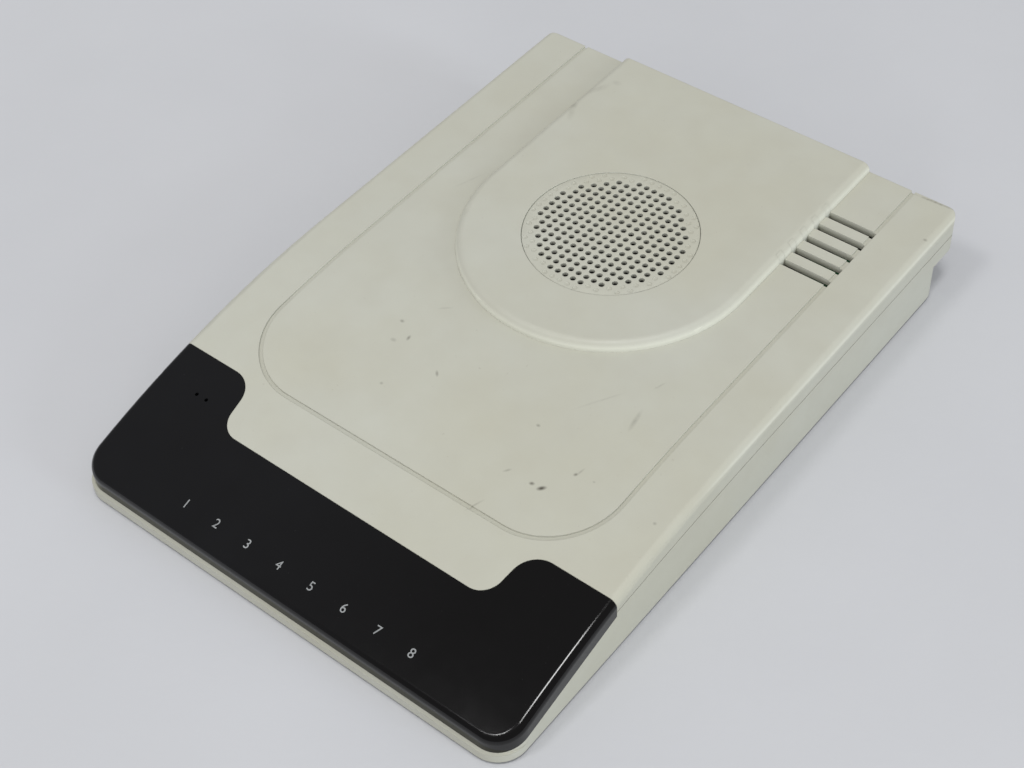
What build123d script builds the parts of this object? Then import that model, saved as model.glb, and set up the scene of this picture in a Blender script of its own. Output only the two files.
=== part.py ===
"""Desktop voice modem: a two-shell moulded case with a wrap-around front lens, a speaker
pod with a perforated grille, a circuit board with its rear connectors, a rocker power
switch and a volume thumbwheel. Millimetres, +Z up, the front faces -Y, and the origin
lies on the table under the middle of the case."""

import math
import os

from build123d import *

# ---- case ----------------------------------------------------------------------------
case_width = 140.6
case_depth = 198.9
body_height = 22.9  # from the underside to the flat top
wall = 2.2
front_corner_radius = 8.0
rear_corner_radius = 3.4
crown_radius = 2.2  # rounding of the upper outer edge, except at the rear
nose_run = 94.7  # length of the sloping nose, measured from the front
nose_radius = 287.0
front_lip = 2.6  # height of the beige lip under the lens
lip_ledge = 1.0  # how far the lip stands out in front of the lens
seam_drop = 6.5  # from the flat top down to the seam
seam_run = 103.1  # where the seam starts to bend down, measured from the front
seam_radius = 834.0
seam_gap = 0.25

# ---- hood over the rear connectors ---------------------------------------------------
hood_overhang = 7.5
cheek_drop = 11.8  # depth of the side cheeks beside the connectors
base_corner_radius = 5.0

# ---- feet and screws -----------------------------------------------------------------
foot_height = 0.8
foot_radius = 6.0
foot_recess = 0.5
foot_chamfer = 0.3
foot_gap = 0.1
foot_inset_x = 14.0
foot_inset_front = 16.0
foot_inset_rear = 24.0
case_screw_radius = 1.5
case_screw_head_radius = 2.8
case_screw_head_height = 1.8
case_screw_sink = 0.4  # how far the head lies inside the underside
shank_gap = 0.2  # round a screw where it only passes through
thread_gap = 0.05  # round a screw where its thread holds
screw_tip_gap = 0.3
boss_radius = 4.0
boss_inset_x = 10.0
boss_inset_front = 72.3
boss_inset_rear = 33.0
boss_join_drop = 8.6  # from the flat top down to where upper and lower bosses meet
screw_grip = 5.0  # thread length held in the upper boss

# ---- engraved line and vents ---------------------------------------------------------
line_inset = 13.7  # from the side of the case
line_setback = 43.5  # front run of the line, measured from the front
line_corner_radius = 21.3
line_width = 1.1
line_depth = 0.4
vent_count = 5
vent_pitch = 5.65
vent_width = 2.3
vent_bite = 1.5  # how far the slots cut into the pod's side
vent_setback = 21.4  # middle of the rearmost slot, measured from the rear edge

# ---- speaker pod and grille ----------------------------------------------------------
pod_radius = 42.0
pod_height = 2.6
pod_edge_radius = 2.3
speaker_setback = 63.6  # speaker axis, measured from the rear edge
grille_radius = 24.0
grille_thickness = 1.3
grille_gap = 0.15
grille_sink = 0.1  # how far the grille lies below the pod's face
hole_pitch = 2.5
hole_radius = 0.75
hole_field_radius = 20.95  # holes inside this circle go right through
speaker_radius = 25.0
speaker_flange = 1.0
speaker_flange_width = 3.4
gasket_thickness = 0.8
surround_thickness = 0.4
surround_width = 2.0
basket_depth = 6.5
basket_wall = 0.8
neck_rise = 2.4  # from the basket's floor up to the cone's neck
magnet_radius = 11.0
magnet_chamfer = 0.4
basket_rim = 1.5  # of the basket's floor beyond the magnet
magnet_clearance = 1.5
coil_radius = 7.2
coil_wall = 0.6
coil_gap = 0.4
dust_cap_rise = 2.4
cap_thickness = 0.4
seat_ring_wall = 1.6
seat_ring_height = 3.0
seat_clearance = 0.3

# ---- front lens ----------------------------------------------------------------------
lens_wall = 2.0
lens_wing_run = 42.7  # rear edge of the side wings, measured from the front
lens_middle_run = 27.4  # rear edge of the middle, measured from the front
wing_width = 24.8  # of each wing at its rear
wing_root_width = 26.6  # of each wing where it meets the middle
wing_corner_radius = 7.0
wing_root_radius = 6.0
lens_heel_drop = 10.2  # lower rear corner of the lens, below the flat top
lens_toe_run = 1.5  # where its lower edge levels out, measured from the front
tongue_reach = 3.0
tongue_thickness = 1.1
tongue_clearance = 0.1
latch_notch_run = 31.8  # small notch in the left upper edge, measured from the front
latch_notch_width = 2.6
latch_notch_depth = 0.8
mic_hole_radius = 0.5
mic_hole_spacing = 3.4
mic_inset_x = 15.8
mic_run = 32.1
mic_radius = 3.0
mic_height = 4.0
mic_inset = 0.4
mic_boot_wall = 0.9
mic_boot_gap = 0.05

# ---- status lights -------------------------------------------------------------------
light_count = 8
light_pitch = 10.6
light_width = 3.2
light_height = 1.7
light_reach = 4.5
light_depth = 4.0
light_dome_radius = 0.75
guide_width = 2.6
guide_thickness = 1.5
guide_clearance = 0.15
guide_front_run = 5.5
guide_length = 14.0
guide_bar = 3.0

# ---- circuit board -------------------------------------------------------------------
board_side_gap = 1.3  # between the board and the inside of the case
board_thickness = 1.6
board_front_run = 26.6  # front edge of the board, measured from the case front
board_rear_gap = 1.0
standoff_height = 5.0
standoff_radius = 3.0
standoff_x = 38.0
standoff_front_run = 40.3
standoff_rear_gap = 30.0
board_screw_radius = 1.25
board_screw_head_radius = 2.6
board_screw_head_height = 1.4
boss_hole_gap = 0.5
board_hole_gap = 0.15

# ---- parts on the board --------------------------------------------------------------
chip_lift = 0.2  # a chip's body above the board, and its edge chamfer
leg_reach = 1.1
leg_height = 0.6
leg_share = 0.45  # a leg's width as a share of the pitch
heat_sink_width = 16.0
heat_sink_height = 10.6
heat_sink_plate = 1.6
heat_sink_fins = 5
heat_sink_fin = 1.0
heat_sink_reach = 5.5
heat_sink_gap = 0.9  # between its fins and the board screw behind them
header_x = 30.0
header_setback = 35.7  # from the speaker's axis
header_width = 7.2
header_depth = 4.8
header_height = 4.2
header_wall = 0.8
header_floor = 1.2

# ---- rear connectors -----------------------------------------------------------------
cutout_gap = 0.2
top_gap = 0.2  # between connectors or rear panel and the cover above them
row_gap = 1.0  # between neighbouring connectors
phone_jack_width = 12.0
phone_jack_depth = 16.0
phone_jack_proud = 0.5
plug_width = 9.8
plug_height = 7.0
plug_depth = 12.0
plug_latch_width = 6.4
plug_latch_height = 2.2
contact_count = 4
contact_pitch = 1.02
contact_width = 0.5
contact_wire = 0.35
contact_bend_run = 2.5  # from the jack's mouth to the bend of its contacts
contact_tip_run = 9.0
contact_drop = 1.9
jack_proud = 0.4  # audio and power sockets, beyond the panel
jack_chamfer = 0.4
panel_gap = 0.1  # between the rear panel and what stands behind it
audio_jack_width = 6.6
audio_jack_height = 6.4
audio_jack_depth = 13.0
audio_bush_radius = 2.9
audio_bore_radius = 1.8
audio_bore_depth = 12.0
power_inlet_width = 9.0
power_inlet_height = 10.8
power_inlet_depth = 14.0
power_bore_radius = 3.1
power_bore_depth = 9.5
power_pin_radius = 1.0
power_pin_recess = 1.0
serial_x = 1.2
serial_flange_width = 53.0
serial_flange_height = 12.5
serial_flange_thickness = 0.9
serial_mouth_inset = 7.05  # of the mouth from either end of the flange
serial_mouth_height = 8.4
serial_side_angle = 10.0  # of the D shape's sides
serial_flange_radius = 1.5
serial_shell_wall = 0.5
serial_reach = 4.2
serial_screw_inset = 2.98  # from the end of the flange
serial_pin_margin = 2.83  # from the mouth's side to the outer pins
serial_row_spacing = 2.84
serial_hole_radius = 0.55
serial_hole_depth = 6.0
serial_body_depth = 10.0
serial_body_margin = 2.2  # of the body beyond the mouth, at either side
serial_mouth_sink = 0.3  # of the insulator inside the shell's rim
serial_play = 0.05  # between insulator and shell
serial_tail = 0.6
serial_row_step = 1.2  # the upper row's tails stand this far behind the body
jackscrew_flats = 4.8
jackscrew_reach = 5.0
jackscrew_thread_radius = 1.42
jackscrew_tail = 3.0
jackscrew_floor = 0.6

# ---- power switch --------------------------------------------------------------------
switch_width = 14.0
switch_height = 10.5
switch_depth = 13.0
switch_bezel = 1.2
switch_wall = 1.2
switch_proud = 1.0  # of the bezel beyond the panel
switch_corner_radius = 0.8
switch_swing_room = 1.6  # behind the rocker
rocker_pivot_radius = 1.2
rocker_pivot_gap = 0.05
rocker_gap = 0.35
rocker_tilt = 10.0
rocker_rise = 1.0  # of its ends above the bezel
rocker_well_depth = 4.6
rocker_dip = 0.8  # from the rocker's tips down to its middle
rocker_thickness = 0.6
rocker_hub_width = 4.8
rocker_hub_depth = 2.2

# ---- volume control ------------------------------------------------------------------
wheel_radius = 7.0
wheel_thickness = 2.6
wheel_run = 55.6  # wheel axis, measured from the front
wheel_inset = 0.1  # how far its rim stays inside the side of the case
wheel_gap = 0.3
wheel_flutes = 20
wheel_flute_radius = 0.6
wheel_post_radius = 1.5
wheel_post_gap = 0.05
wheel_post_proud = 0.8
wheel_chamfer = 0.3
volume_base_height = 1.6
volume_base_size = 8.4
volume_base_chamfer = 1.0
thumb_recess_depth = 1.3
thumb_recess_radius = 20.0

# ---- derived places ------------------------------------------------------------------
half_width = case_width / 2
front_y = -case_depth / 2
rear_y = case_depth / 2
bottom_z = foot_height
top_z = bottom_z + body_height
floor_z = bottom_z + wall
ceiling_z = top_z - wall
pod_z = top_z + pod_height
pod_ceiling_z = pod_z - wall
nose_y = front_y + nose_run
seam_z = top_z - seam_drop
seam_bend_y = front_y + seam_run
lip_z = bottom_z + front_lip
face_y = front_y + lip_ledge
panel_y = rear_y - hood_overhang
panel_inner_y = panel_y - wall
cheek_z = top_z - cheek_drop
lens_wing_y = front_y + lens_wing_run
lens_middle_y = front_y + lens_middle_run
speaker_y = rear_y - speaker_setback
board_bottom_z = floor_z + standoff_height
board_z = board_bottom_z + board_thickness
board_half = half_width - wall - board_side_gap
board_front_y = front_y + board_front_run
board_rear_y = panel_inner_y - board_rear_gap
header_y = speaker_y - header_setback
standoff_rear_y = panel_inner_y - standoff_rear_gap
heat_sink_y = standoff_rear_y - board_screw_head_radius - heat_sink_gap - heat_sink_reach
serial_mouth_width = serial_flange_width - 2 * serial_mouth_inset
serial_screw_spacing = serial_flange_width - 2 * serial_screw_inset
serial_pin_pitch = (serial_mouth_width - 2 * serial_pin_margin) / 12
jack_height = ceiling_z - top_gap - board_z
line_half_width = half_width - line_inset
wing_half_width = half_width - wing_width
wing_root_half_width = half_width - wing_root_width
mic_x = mic_inset_x - half_width
speaker_mouth = speaker_radius - speaker_flange_width
audio_in_x = serial_x - (serial_flange_width + audio_jack_width) / 2 - row_gap
phone_jack_x = audio_in_x - (audio_jack_width + phone_jack_width) / 2 - row_gap
line_jack_x = phone_jack_x - phone_jack_width - row_gap
audio_out_x = serial_x + (serial_flange_width + audio_jack_width) / 2 + row_gap
power_inlet_x = audio_out_x + (audio_jack_width + power_inlet_width) / 2 + row_gap
switch_x = power_inlet_x + (power_inlet_width + switch_width) / 2 + row_gap
boss_join_z = top_z - boss_join_drop
boss_places = [
    (side * (half_width - boss_inset_x), y)
    for side in (-1, 1)
    for y in (front_y + boss_inset_front, rear_y - boss_inset_rear)
]
standoff_places = [
    (side * standoff_x, y)
    for side in (-1, 1)
    for y in (front_y + standoff_front_run, standoff_rear_y)
]
foot_places = [
    (side * (half_width - foot_inset_x), y)
    for side in (-1, 1)
    for y in (front_y + foot_inset_front, rear_y - foot_inset_rear)
]
light_places = [(i - (light_count - 1) / 2) * light_pitch for i in range(light_count)]
wheel_x = -(half_width - wheel_inset - wheel_radius)
wheel_y = front_y + wheel_run
wheel_low_z = board_z + volume_base_height + wheel_gap
wheel_high_z = wheel_low_z + wheel_thickness


# ---- helpers -------------------------------------------------------------------------
def block(x0, x1, y0, y1, z0, z1):
    """A box between two corners."""
    size = Box(x1 - x0, y1 - y0, z1 - z0)
    return Pos((x0 + x1) / 2, (y0 + y1) / 2, (z0 + z1) / 2) * size


def post(x, y, radius, z0, z1):
    """An upright cylinder."""
    return Pos(x, y, (z0 + z1) / 2) * Cylinder(radius, z1 - z0)


def rod(x, z, radius, y0, y1):
    """A cylinder lying along Y."""
    return Pos(x, (y0 + y1) / 2, z) * Rot(90, 0, 0) * Cylinder(radius, y1 - y0)


def prism(sketch, z0, z1):
    """A flat outline raised from z0 to z1."""
    return extrude(Pos(0, 0, z0) * sketch, z1 - z0)


def side_slab(face, width=case_width):
    """A face in the YZ plane, drawn out to both sides of the middle."""
    return extrude(Plane.YZ * face, width / 2, both=True)


def back_slab(outline, y0, y1):
    """A closed outline in the XZ plane, drawn out from y0 to y1."""
    face = Plane.XZ * make_face(outline)
    return Pos(0, y1, 0) * extrude(face, y1 - y0)


def ring(x, y, outer, inner, z0, z1):
    """An upright tube."""
    return post(x, y, outer, z0, z1) - post(x, y, inner, z0 - 1, z1 + 1)


def joined(solids):
    """One shape made of every solid in a list."""
    solids = list(solids)
    return solids[0] + solids[1:]


def group(solids):
    """Separate solids kept side by side in one node."""
    return Compound(children=[s.solid() for s in solids])


# ---- the case form -------------------------------------------------------------------
def crown_height(y, inset=0.0):
    """Height of the top surface at y, or of a surface lying inset below it."""
    if y >= nose_y:
        return top_z - inset
    drop = (nose_radius - inset) ** 2 - (nose_y - y) ** 2
    return top_z - nose_radius + math.sqrt(drop)


def plan(inset=0.0, rear=None, front=front_y):
    """Outline of the case seen from above, with its own front and rear corners."""
    rear = rear_y - inset if rear is None else rear
    front += inset
    outline = Pos(0, (front + rear) / 2) * Rectangle(2 * (half_width - inset), rear - front)
    corners = outline.vertices().group_by(Axis.Y)
    outline = fillet(corners[0], front_corner_radius - inset)
    corners = outline.vertices().group_by(Axis.Y)
    return fillet(corners[-1], max(rear_corner_radius - inset, wall / 2))


def base_plan(inset, rear, rear_radius, front=front_y):
    """Outline of the lower case, which ends at the rear panel, under the hood."""
    front += inset
    outline = Pos(0, (front + rear) / 2) * Rectangle(2 * (half_width - inset), rear - front)
    outline = fillet(outline.vertices().group_by(Axis.Y)[0], front_corner_radius - inset)
    return fillet(outline.vertices().group_by(Axis.Y)[-1], rear_radius)


def under_crown(inset=0.0):
    """Side view of everything under the top surface: level, then one long arc."""
    low_y, far_y = front_y - wall, rear_y + wall
    middle_y = (low_y + nose_y) / 2
    edge = Polyline(
        (low_y, crown_height(low_y, inset)), (low_y, 0), (far_y, 0), (far_y, top_z - inset),
        (nose_y, top_z - inset),
    )
    nose = ThreePointArc(
        (nose_y, top_z - inset), (middle_y, crown_height(middle_y, inset)),
        (low_y, crown_height(low_y, inset)),
    )
    return make_face(edge + nose)


def envelope(inset=0.0, rear=None):
    """The case as one closed form, with every surface moved inwards by inset."""
    form = prism(plan(inset, rear, face_y), bottom_z + inset, top_z)
    if inset < front_lip / 2:
        form += prism(plan(inset, rear), bottom_z + inset, lip_z - inset)
    return side_slab(under_crown(inset)) & form


def crowned_envelope():
    """The outer form with its upper edge rounded, but for the crisp rear edge."""
    form = envelope(rear=rear_y + 3 * wall)
    crown = [face for face in form.faces()
             if face.normal_at().Z > 0.5 and face.center().Z > lip_z + wall]
    edges = [edge for face in crown for edge in face.edges()]
    rim = [edge for edge in edges
           if abs(edge.center().Y - nose_y) > 0.01 and edge.center().Y < rear_y]
    return fillet(rim, crown_radius) & prism(plan(), bottom_z, top_z)


def below_seam():
    """Everything under the seam: level at the rear, bent down along the nose, stepped
    down behind the lens and then following the lens's lower edge to the front lip."""
    drop = (seam_bend_y - lens_wing_y) ** 2
    step_z = seam_z - seam_radius + math.sqrt(seam_radius**2 - drop)
    middle_y = (seam_bend_y + lens_wing_y) / 2
    middle_drop = (seam_bend_y - middle_y) ** 2
    middle_z = seam_z - seam_radius + math.sqrt(seam_radius**2 - middle_drop)
    edge = Polyline(
        (lens_wing_y, step_z), (lens_wing_y, top_z - lens_heel_drop),
        (front_y + lens_toe_run, lip_z), (front_y - wall, lip_z),
        (front_y - wall, bottom_z - wall), (rear_y + wall, bottom_z - wall),
        (rear_y + wall, seam_z), (seam_bend_y, seam_z),
    )
    bend = ThreePointArc((seam_bend_y, seam_z), (middle_y, middle_z), (lens_wing_y, step_z))
    return side_slab(make_face(edge + bend), case_width + 2 * wall)


def lens_plan(grow=0.0):
    """Outline of the lens seen from above: two wings and a shallower middle."""
    side = half_width + wall
    front = front_y - wall
    outline = make_face(Polyline(
        (-side, lens_wing_y), (-wing_half_width, lens_wing_y),
        (-wing_root_half_width, lens_middle_y), (wing_root_half_width, lens_middle_y),
        (wing_half_width, lens_wing_y), (side, lens_wing_y),
        (side, front), (-side, front), close=True,
    ))
    wings = [v for v in outline.vertices() if abs(abs(v.X) - wing_half_width) < 0.01]
    outline = fillet(wings, wing_corner_radius)
    roots = [v for v in outline.vertices() if abs(abs(v.X) - wing_root_half_width) < 0.01]
    outline = fillet(roots, wing_root_radius)
    return offset(outline, grow) if grow else outline


def pod_plan(inset=0.0):
    """Outline of the speaker pod: a half circle with straight sides to the rear edge."""
    radius = pod_radius - inset
    straight = Pos(0, (speaker_y + rear_y) / 2) * Rectangle(2 * radius, rear_y - speaker_y)
    return straight + Pos(0, speaker_y) * Circle(radius)


def line_plan(inset=0.0):
    """Outline of the panel that the engraved line borders."""
    half = line_half_width - inset
    front = front_y + line_setback + inset
    outline = Pos(0, (front + rear_y + wall) / 2) * Rectangle(2 * half, rear_y + wall - front)
    return fillet(outline.vertices().group_by(Axis.Y)[0], line_corner_radius - inset)


def vent_slots():
    """Five slots between the pod's side and the engraved line."""
    slots = []
    for i in range(vent_count):
        y = rear_y - vent_setback - i * vent_pitch
        left = pod_radius - vent_bite
        slots.append(block(left, line_half_width, y - vent_width / 2, y + vent_width / 2,
                           ceiling_z - 1, pod_z + 1))
    return slots


# ---- case parts ----------------------------------------------------------------------
def top_cover():
    skin = crowned_envelope() - envelope(wall, rear=rear_y + 1)
    engraved = prism(line_plan(), bottom_z, pod_z) - prism(line_plan(line_width), 0, pod_z + 1)
    skin -= engraved & (envelope() - envelope(line_depth))
    raised = prism(pod_plan(), ceiling_z, pod_z)
    raised = fillet(raised.faces().sort_by(Axis.Z)[-1].edges().filter_by(
        lambda edge: edge.center().Y < rear_y - 0.01), pod_edge_radius)
    skin = skin + raised - prism(pod_plan(wall), floor_z, pod_ceiling_z)
    skin -= Pos(0, 0, seam_gap) * below_seam()
    skin -= prism(lens_plan(tongue_clearance), 0, pod_z)
    skin -= joined(vent_slots())
    skin -= post(0, speaker_y, grille_radius + grille_gap, pod_z - grille_thickness - grille_sink,
                 pod_z + 1)
    skin -= post(0, speaker_y, speaker_mouth, ceiling_z, pod_z)
    seat = ring(0, speaker_y, speaker_radius + seat_clearance + seat_ring_wall,
                speaker_radius + seat_clearance, pod_ceiling_z - seat_ring_height, pod_ceiling_z)
    skin += seat
    for x, y in boss_places:
        high = crown_height(y - boss_radius, wall / 2)
        skin += post(x, y, boss_radius, boss_join_z + seam_gap, high)
        skin -= post(x, y, case_screw_radius, boss_join_z, boss_join_z + screw_grip)
    return skin


def speaker_grille():
    """Flush disc with a square field of holes; eight-sided holes keep the part light."""
    high = pod_z - grille_sink
    low = high - grille_thickness
    disc = post(0, speaker_y, grille_radius, low, high)
    reach = math.floor(hole_field_radius / hole_pitch)
    steps = range(-reach, reach + 1)
    places = [Pos(i * hole_pitch, speaker_y + j * hole_pitch)
              for i in steps for j in steps if math.hypot(i, j) * hole_pitch <= hole_field_radius]
    holes = Sketch(children=[place * RegularPolygon(hole_radius, 8) for place in places])
    return disc - extrude(Pos(0, 0, low - 1) * holes, grille_thickness + 2)


def bottom_case():
    body = envelope() & below_seam()
    base = base_plan(0, panel_y, base_corner_radius)
    body &= prism(base, 0, cheek_z) + prism(plan(), cheek_z, top_z)
    body -= block(-half_width + wall, half_width - wall, panel_y, rear_y + 1, 0, top_z)
    cavity = base_plan(wall, panel_inner_y, base_corner_radius - wall, face_y)
    body -= prism(cavity, floor_z, pod_z)
    panel_half = half_width - wall - top_gap
    panel = block(-panel_half, panel_half, panel_inner_y, panel_y, floor_z, ceiling_z - top_gap)
    pod_half = pod_radius - wall - top_gap
    panel += block(-pod_half, pod_half, panel_inner_y, panel_y, floor_z, pod_ceiling_z - top_gap)
    body += panel
    body -= joined(panel_cutouts())
    for x, y in boss_places:
        body += post(x, y, boss_radius, floor_z - 0.5, boss_join_z)
        body -= post(x, y, case_screw_radius + shank_gap, bottom_z - 1, boss_join_z + 1)
        body -= post(x, y, case_screw_head_radius + shank_gap, bottom_z - 1,
                     bottom_z + case_screw_sink + case_screw_head_height)
    for x, y in standoff_places:
        body += post(x, y, standoff_radius, floor_z - 0.5, board_bottom_z)
        body -= post(x, y, board_screw_radius, floor_z, board_bottom_z + 1)
    for x, y in foot_places:
        body -= post(x, y, foot_radius + foot_gap, bottom_z - 1, bottom_z + foot_recess)
    return body - joined(thumb_openings())


def panel_cutouts():
    """Openings through the rear panel, one for each connector."""
    gap = cutout_gap
    y0, y1 = panel_inner_y - 1, panel_y + 1
    cuts = []
    for x in (line_jack_x, phone_jack_x):
        cuts.append(block(x - phone_jack_width / 2 - gap, x + phone_jack_width / 2 + gap,
                          y0, y1, board_z - gap, board_z + jack_height + 2 * gap))
    for x in (audio_in_x, audio_out_x):
        cuts.append(rod(x, board_z + audio_jack_height / 2, audio_bush_radius + gap, y0, y1))
    cuts.append(block(power_inlet_x - power_inlet_width / 2 - gap,
                      power_inlet_x + power_inlet_width / 2 + gap,
                      y0, y1, board_z - gap, board_z + power_inlet_height + gap))
    cuts.append(back_slab(serial_outline(serial_shell_wall + gap), y0, y1))
    for side in (-1, 1):
        cuts.append(rod(serial_x + side * serial_screw_spacing / 2, serial_z(),
                        jackscrew_thread_radius + 2 * gap, y0, y1))
    cuts.append(block(switch_x - switch_width / 2 + switch_bezel - gap,
                      switch_x + switch_width / 2 - switch_bezel + gap, y0, y1,
                      switch_z() - switch_height / 2 + switch_bezel - gap,
                      switch_z() + switch_height / 2 - switch_bezel + gap))
    return cuts


def thumb_openings():
    """Shallow finger recess in the left side and the slot that the wheel looks out of."""
    recess = post(-half_width - thumb_recess_radius + thumb_recess_depth, wheel_y,
                  thumb_recess_radius, wheel_low_z - 1.0, top_z)
    slot = post(wheel_x, wheel_y, wheel_radius + wheel_gap, wheel_low_z - wheel_gap,
                wheel_high_z + wheel_gap)
    return [recess, slot]


def front_lens():
    shell = crowned_envelope() - envelope(lens_wall)
    zone = prism(lens_plan(), 0, pod_z) - below_seam()
    shell &= zone
    band = prism(lens_plan(tongue_reach), 0, pod_z) - prism(lens_plan(-tongue_reach), 0, pod_z)
    root = envelope(lens_wall) - envelope(wall + tongue_clearance + tongue_thickness)
    clear = envelope(lens_wall) - envelope(wall + tongue_clearance)
    tongue = (root & band) - (clear - prism(lens_plan(), 0, pod_z))
    inside = half_width - 2 * wall
    tongue &= block(-inside, inside, lens_middle_y - 2 * tongue_reach,
                    lens_wing_y + 2 * tongue_reach, lip_z + wall, top_z)
    shell += tongue
    for side in (-1, 1):
        shell -= post(mic_x + side * mic_hole_spacing / 2, front_y + mic_run, mic_hole_radius,
                      0, top_z)
    y = front_y + latch_notch_run
    return shell - block(-half_width - 1, -half_width + latch_notch_depth,
                         y - latch_notch_width / 2, y + latch_notch_width / 2,
                         crown_height(y) - 2.5, top_z)


def rubber_foot(x, y):
    foot = post(x, y, foot_radius, 0, bottom_z + foot_recess)
    return chamfer(foot.edges().sort_by(Axis.Z)[0], foot_chamfer)


def case_screw(x, y):
    """Screw that comes up from under the case into the upper boss."""
    head_z = bottom_z + case_screw_sink
    head = post(x, y, case_screw_head_radius, head_z, head_z + case_screw_head_height)
    tip_z = boss_join_z + screw_grip - screw_tip_gap
    return head + post(x, y, case_screw_radius - thread_gap, head_z, tip_z)


def board_screw(x, y):
    """Screw that holds the board down on its standoff."""
    head = post(x, y, board_screw_head_radius, board_z, board_z + board_screw_head_height)
    head = chamfer(head.edges().sort_by(Axis.Z)[-1], board_screw_head_height / 2)
    return head + post(x, y, board_screw_radius - thread_gap, floor_z + screw_tip_gap, board_z)


# ---- speaker and microphone ----------------------------------------------------------
gasket_z = pod_ceiling_z - gasket_thickness
flange_top_z = gasket_z - surround_thickness
flange_z = flange_top_z - speaker_flange
basket_z = flange_z - basket_depth
basket_radius = magnet_radius + basket_rim
neck_z = basket_z + neck_rise


def turned(points):
    """A profile of (radius, height) points turned about the speaker's axis."""
    face = Plane.XZ * make_face(Polyline(*points, close=True))
    return Pos(0, speaker_y, 0) * revolve(face, Axis.Z)


def speaker_gasket():
    return ring(0, speaker_y, speaker_radius, speaker_mouth, gasket_z, pod_ceiling_z)


def speaker_frame():
    """Pressed basket: a flat flange, a cone and a floor that carries the magnet."""
    mouth = speaker_mouth - basket_wall
    floor = basket_radius - basket_wall
    return turned([
        (mouth, flange_top_z), (speaker_radius, flange_top_z), (speaker_radius, flange_z),
        (speaker_mouth, flange_z), (basket_radius, basket_z - basket_wall),
        (coil_radius + coil_gap, basket_z - basket_wall), (coil_radius + coil_gap, basket_z),
        (floor, basket_z), (mouth, flange_z),
    ])


def speaker_magnet():
    low = board_z + magnet_clearance
    high = basket_z - basket_wall
    magnet = post(0, speaker_y, magnet_radius, low, high)
    magnet = chamfer(magnet.edges().filter_by(GeomType.CIRCLE), magnet_chamfer)
    return magnet + post(0, speaker_y, coil_radius - coil_wall - coil_gap, high - 1, neck_z - 1)


def speaker_cone():
    """Paper cone with its surround at the rim and the coil former at its neck."""
    inner = coil_radius - coil_wall
    rim = speaker_mouth - basket_wall - surround_thickness
    return turned([
        (speaker_radius, gasket_z), (speaker_radius, flange_top_z), (rim, flange_top_z),
        (rim - surround_width, flange_z + surround_thickness), (coil_radius, neck_z - coil_wall),
        (coil_radius, basket_z + coil_gap), (inner, basket_z + coil_gap), (inner, neck_z),
        (coil_radius + coil_wall, neck_z), (rim - surround_width, flange_top_z),
        (rim, gasket_z),
    ])


def speaker_dust_cap():
    """Shallow dome glued over the cone's neck."""
    rim = coil_radius + coil_wall
    dome_radius = (rim**2 + dust_cap_rise**2) / (2 * dust_cap_rise)
    centre_z = neck_z + dust_cap_rise - dome_radius
    above = post(0, speaker_y, rim, neck_z, gasket_z)
    outer = Pos(0, speaker_y, centre_z) * Sphere(dome_radius)
    inner = Pos(0, speaker_y, centre_z) * Sphere(dome_radius - cap_thickness)
    return (outer - inner) & above


def microphone_boot():
    """Rubber sleeve that presses the capsule up against the lens."""
    y = front_y + mic_run
    inner = mic_radius + mic_boot_gap
    sleeve = ring(mic_x, y, inner + mic_boot_wall, inner, board_z, top_z)
    return sleeve & side_slab(under_crown(lens_wall))


def microphone_capsule():
    y = front_y + mic_run
    high = crown_height(y - mic_radius, lens_wall) - mic_inset
    capsule = post(mic_x, y, mic_radius, high - mic_height, high)
    return capsule - post(mic_x, y, mic_radius / 3, high - mic_inset, high + 1)


def lead(points, radius, bend):
    """An insulated wire of straight runs and tangent arcs."""
    path = FilletPolyline(*points, radius=bend)
    start = Plane(origin=path @ 0, z_dir=path % 0)
    return sweep(start * Circle(radius), path)


# ---- circuit board -------------------------------------------------------------------
def main_board():
    board = block(-board_half, board_half, board_front_y, board_rear_y,
                  board_bottom_z, board_z)
    upright = board.edges().filter_by(Axis.Z).group_by(Axis.Y)
    board = fillet(upright[-1], base_corner_radius - wall)
    for x, y in boss_places:
        board -= post(x, y, boss_radius + boss_hole_gap, 0, top_z)
    for x, y in standoff_places:
        board -= post(x, y, board_screw_radius + board_hole_gap, 0, top_z)
    return board


def on_board(x, y, width, depth, height, low=0.0):
    """A block standing on the board, centred on x, y."""
    return block(x - width / 2, x + width / 2, y - depth / 2, y + depth / 2,
                 board_z + low, board_z + height)


def package(x, y, width, depth, height, legs, pitch):
    """A moulded chip with its legs along the left and right sides."""
    body = on_board(x, y, width, depth, height + chip_lift, low=chip_lift)
    body = chamfer(body.edges().group_by(Axis.Z)[-1], chip_lift)
    reach = width + 2 * leg_reach
    rows = [on_board(x, y + (i - (legs - 1) / 2) * pitch, reach, pitch * leg_share, leg_height)
            for i in range(legs)]
    return joined([body] + rows)


def signal_processor():
    return package(x=-18.0, y=board_front_y + 35.0, width=24.0, depth=24.0, height=3.2,
                   legs=12, pitch=1.8)


def controller_chip():
    return package(x=22.0, y=board_front_y + 35.0, width=20.0, depth=20.0, height=3.2,
                   legs=10, pitch=1.8)


def memory_chips():
    return group(package(x=board_half - 18.8, y=board_front_y + run, width=9.0, depth=18.0,
                         height=2.6, legs=8, pitch=2.0) for run in (43.0, 69.0))


def codec_chips():
    x = 20.8 - board_half
    return group([
        package(x, board_front_y + 54.0, width=11.0, depth=11.0, height=2.6, legs=6, pitch=1.6),
        package(x, board_front_y + 75.0, width=8.0, depth=10.0, height=2.2, legs=5, pitch=1.6),
    ])


def crystal():
    can = on_board(x=0.0, y=board_front_y + 55.0, width=11.0, depth=4.6, height=3.5)
    return fillet(can.edges().filter_by(Axis.Z), 2.2)


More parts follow.
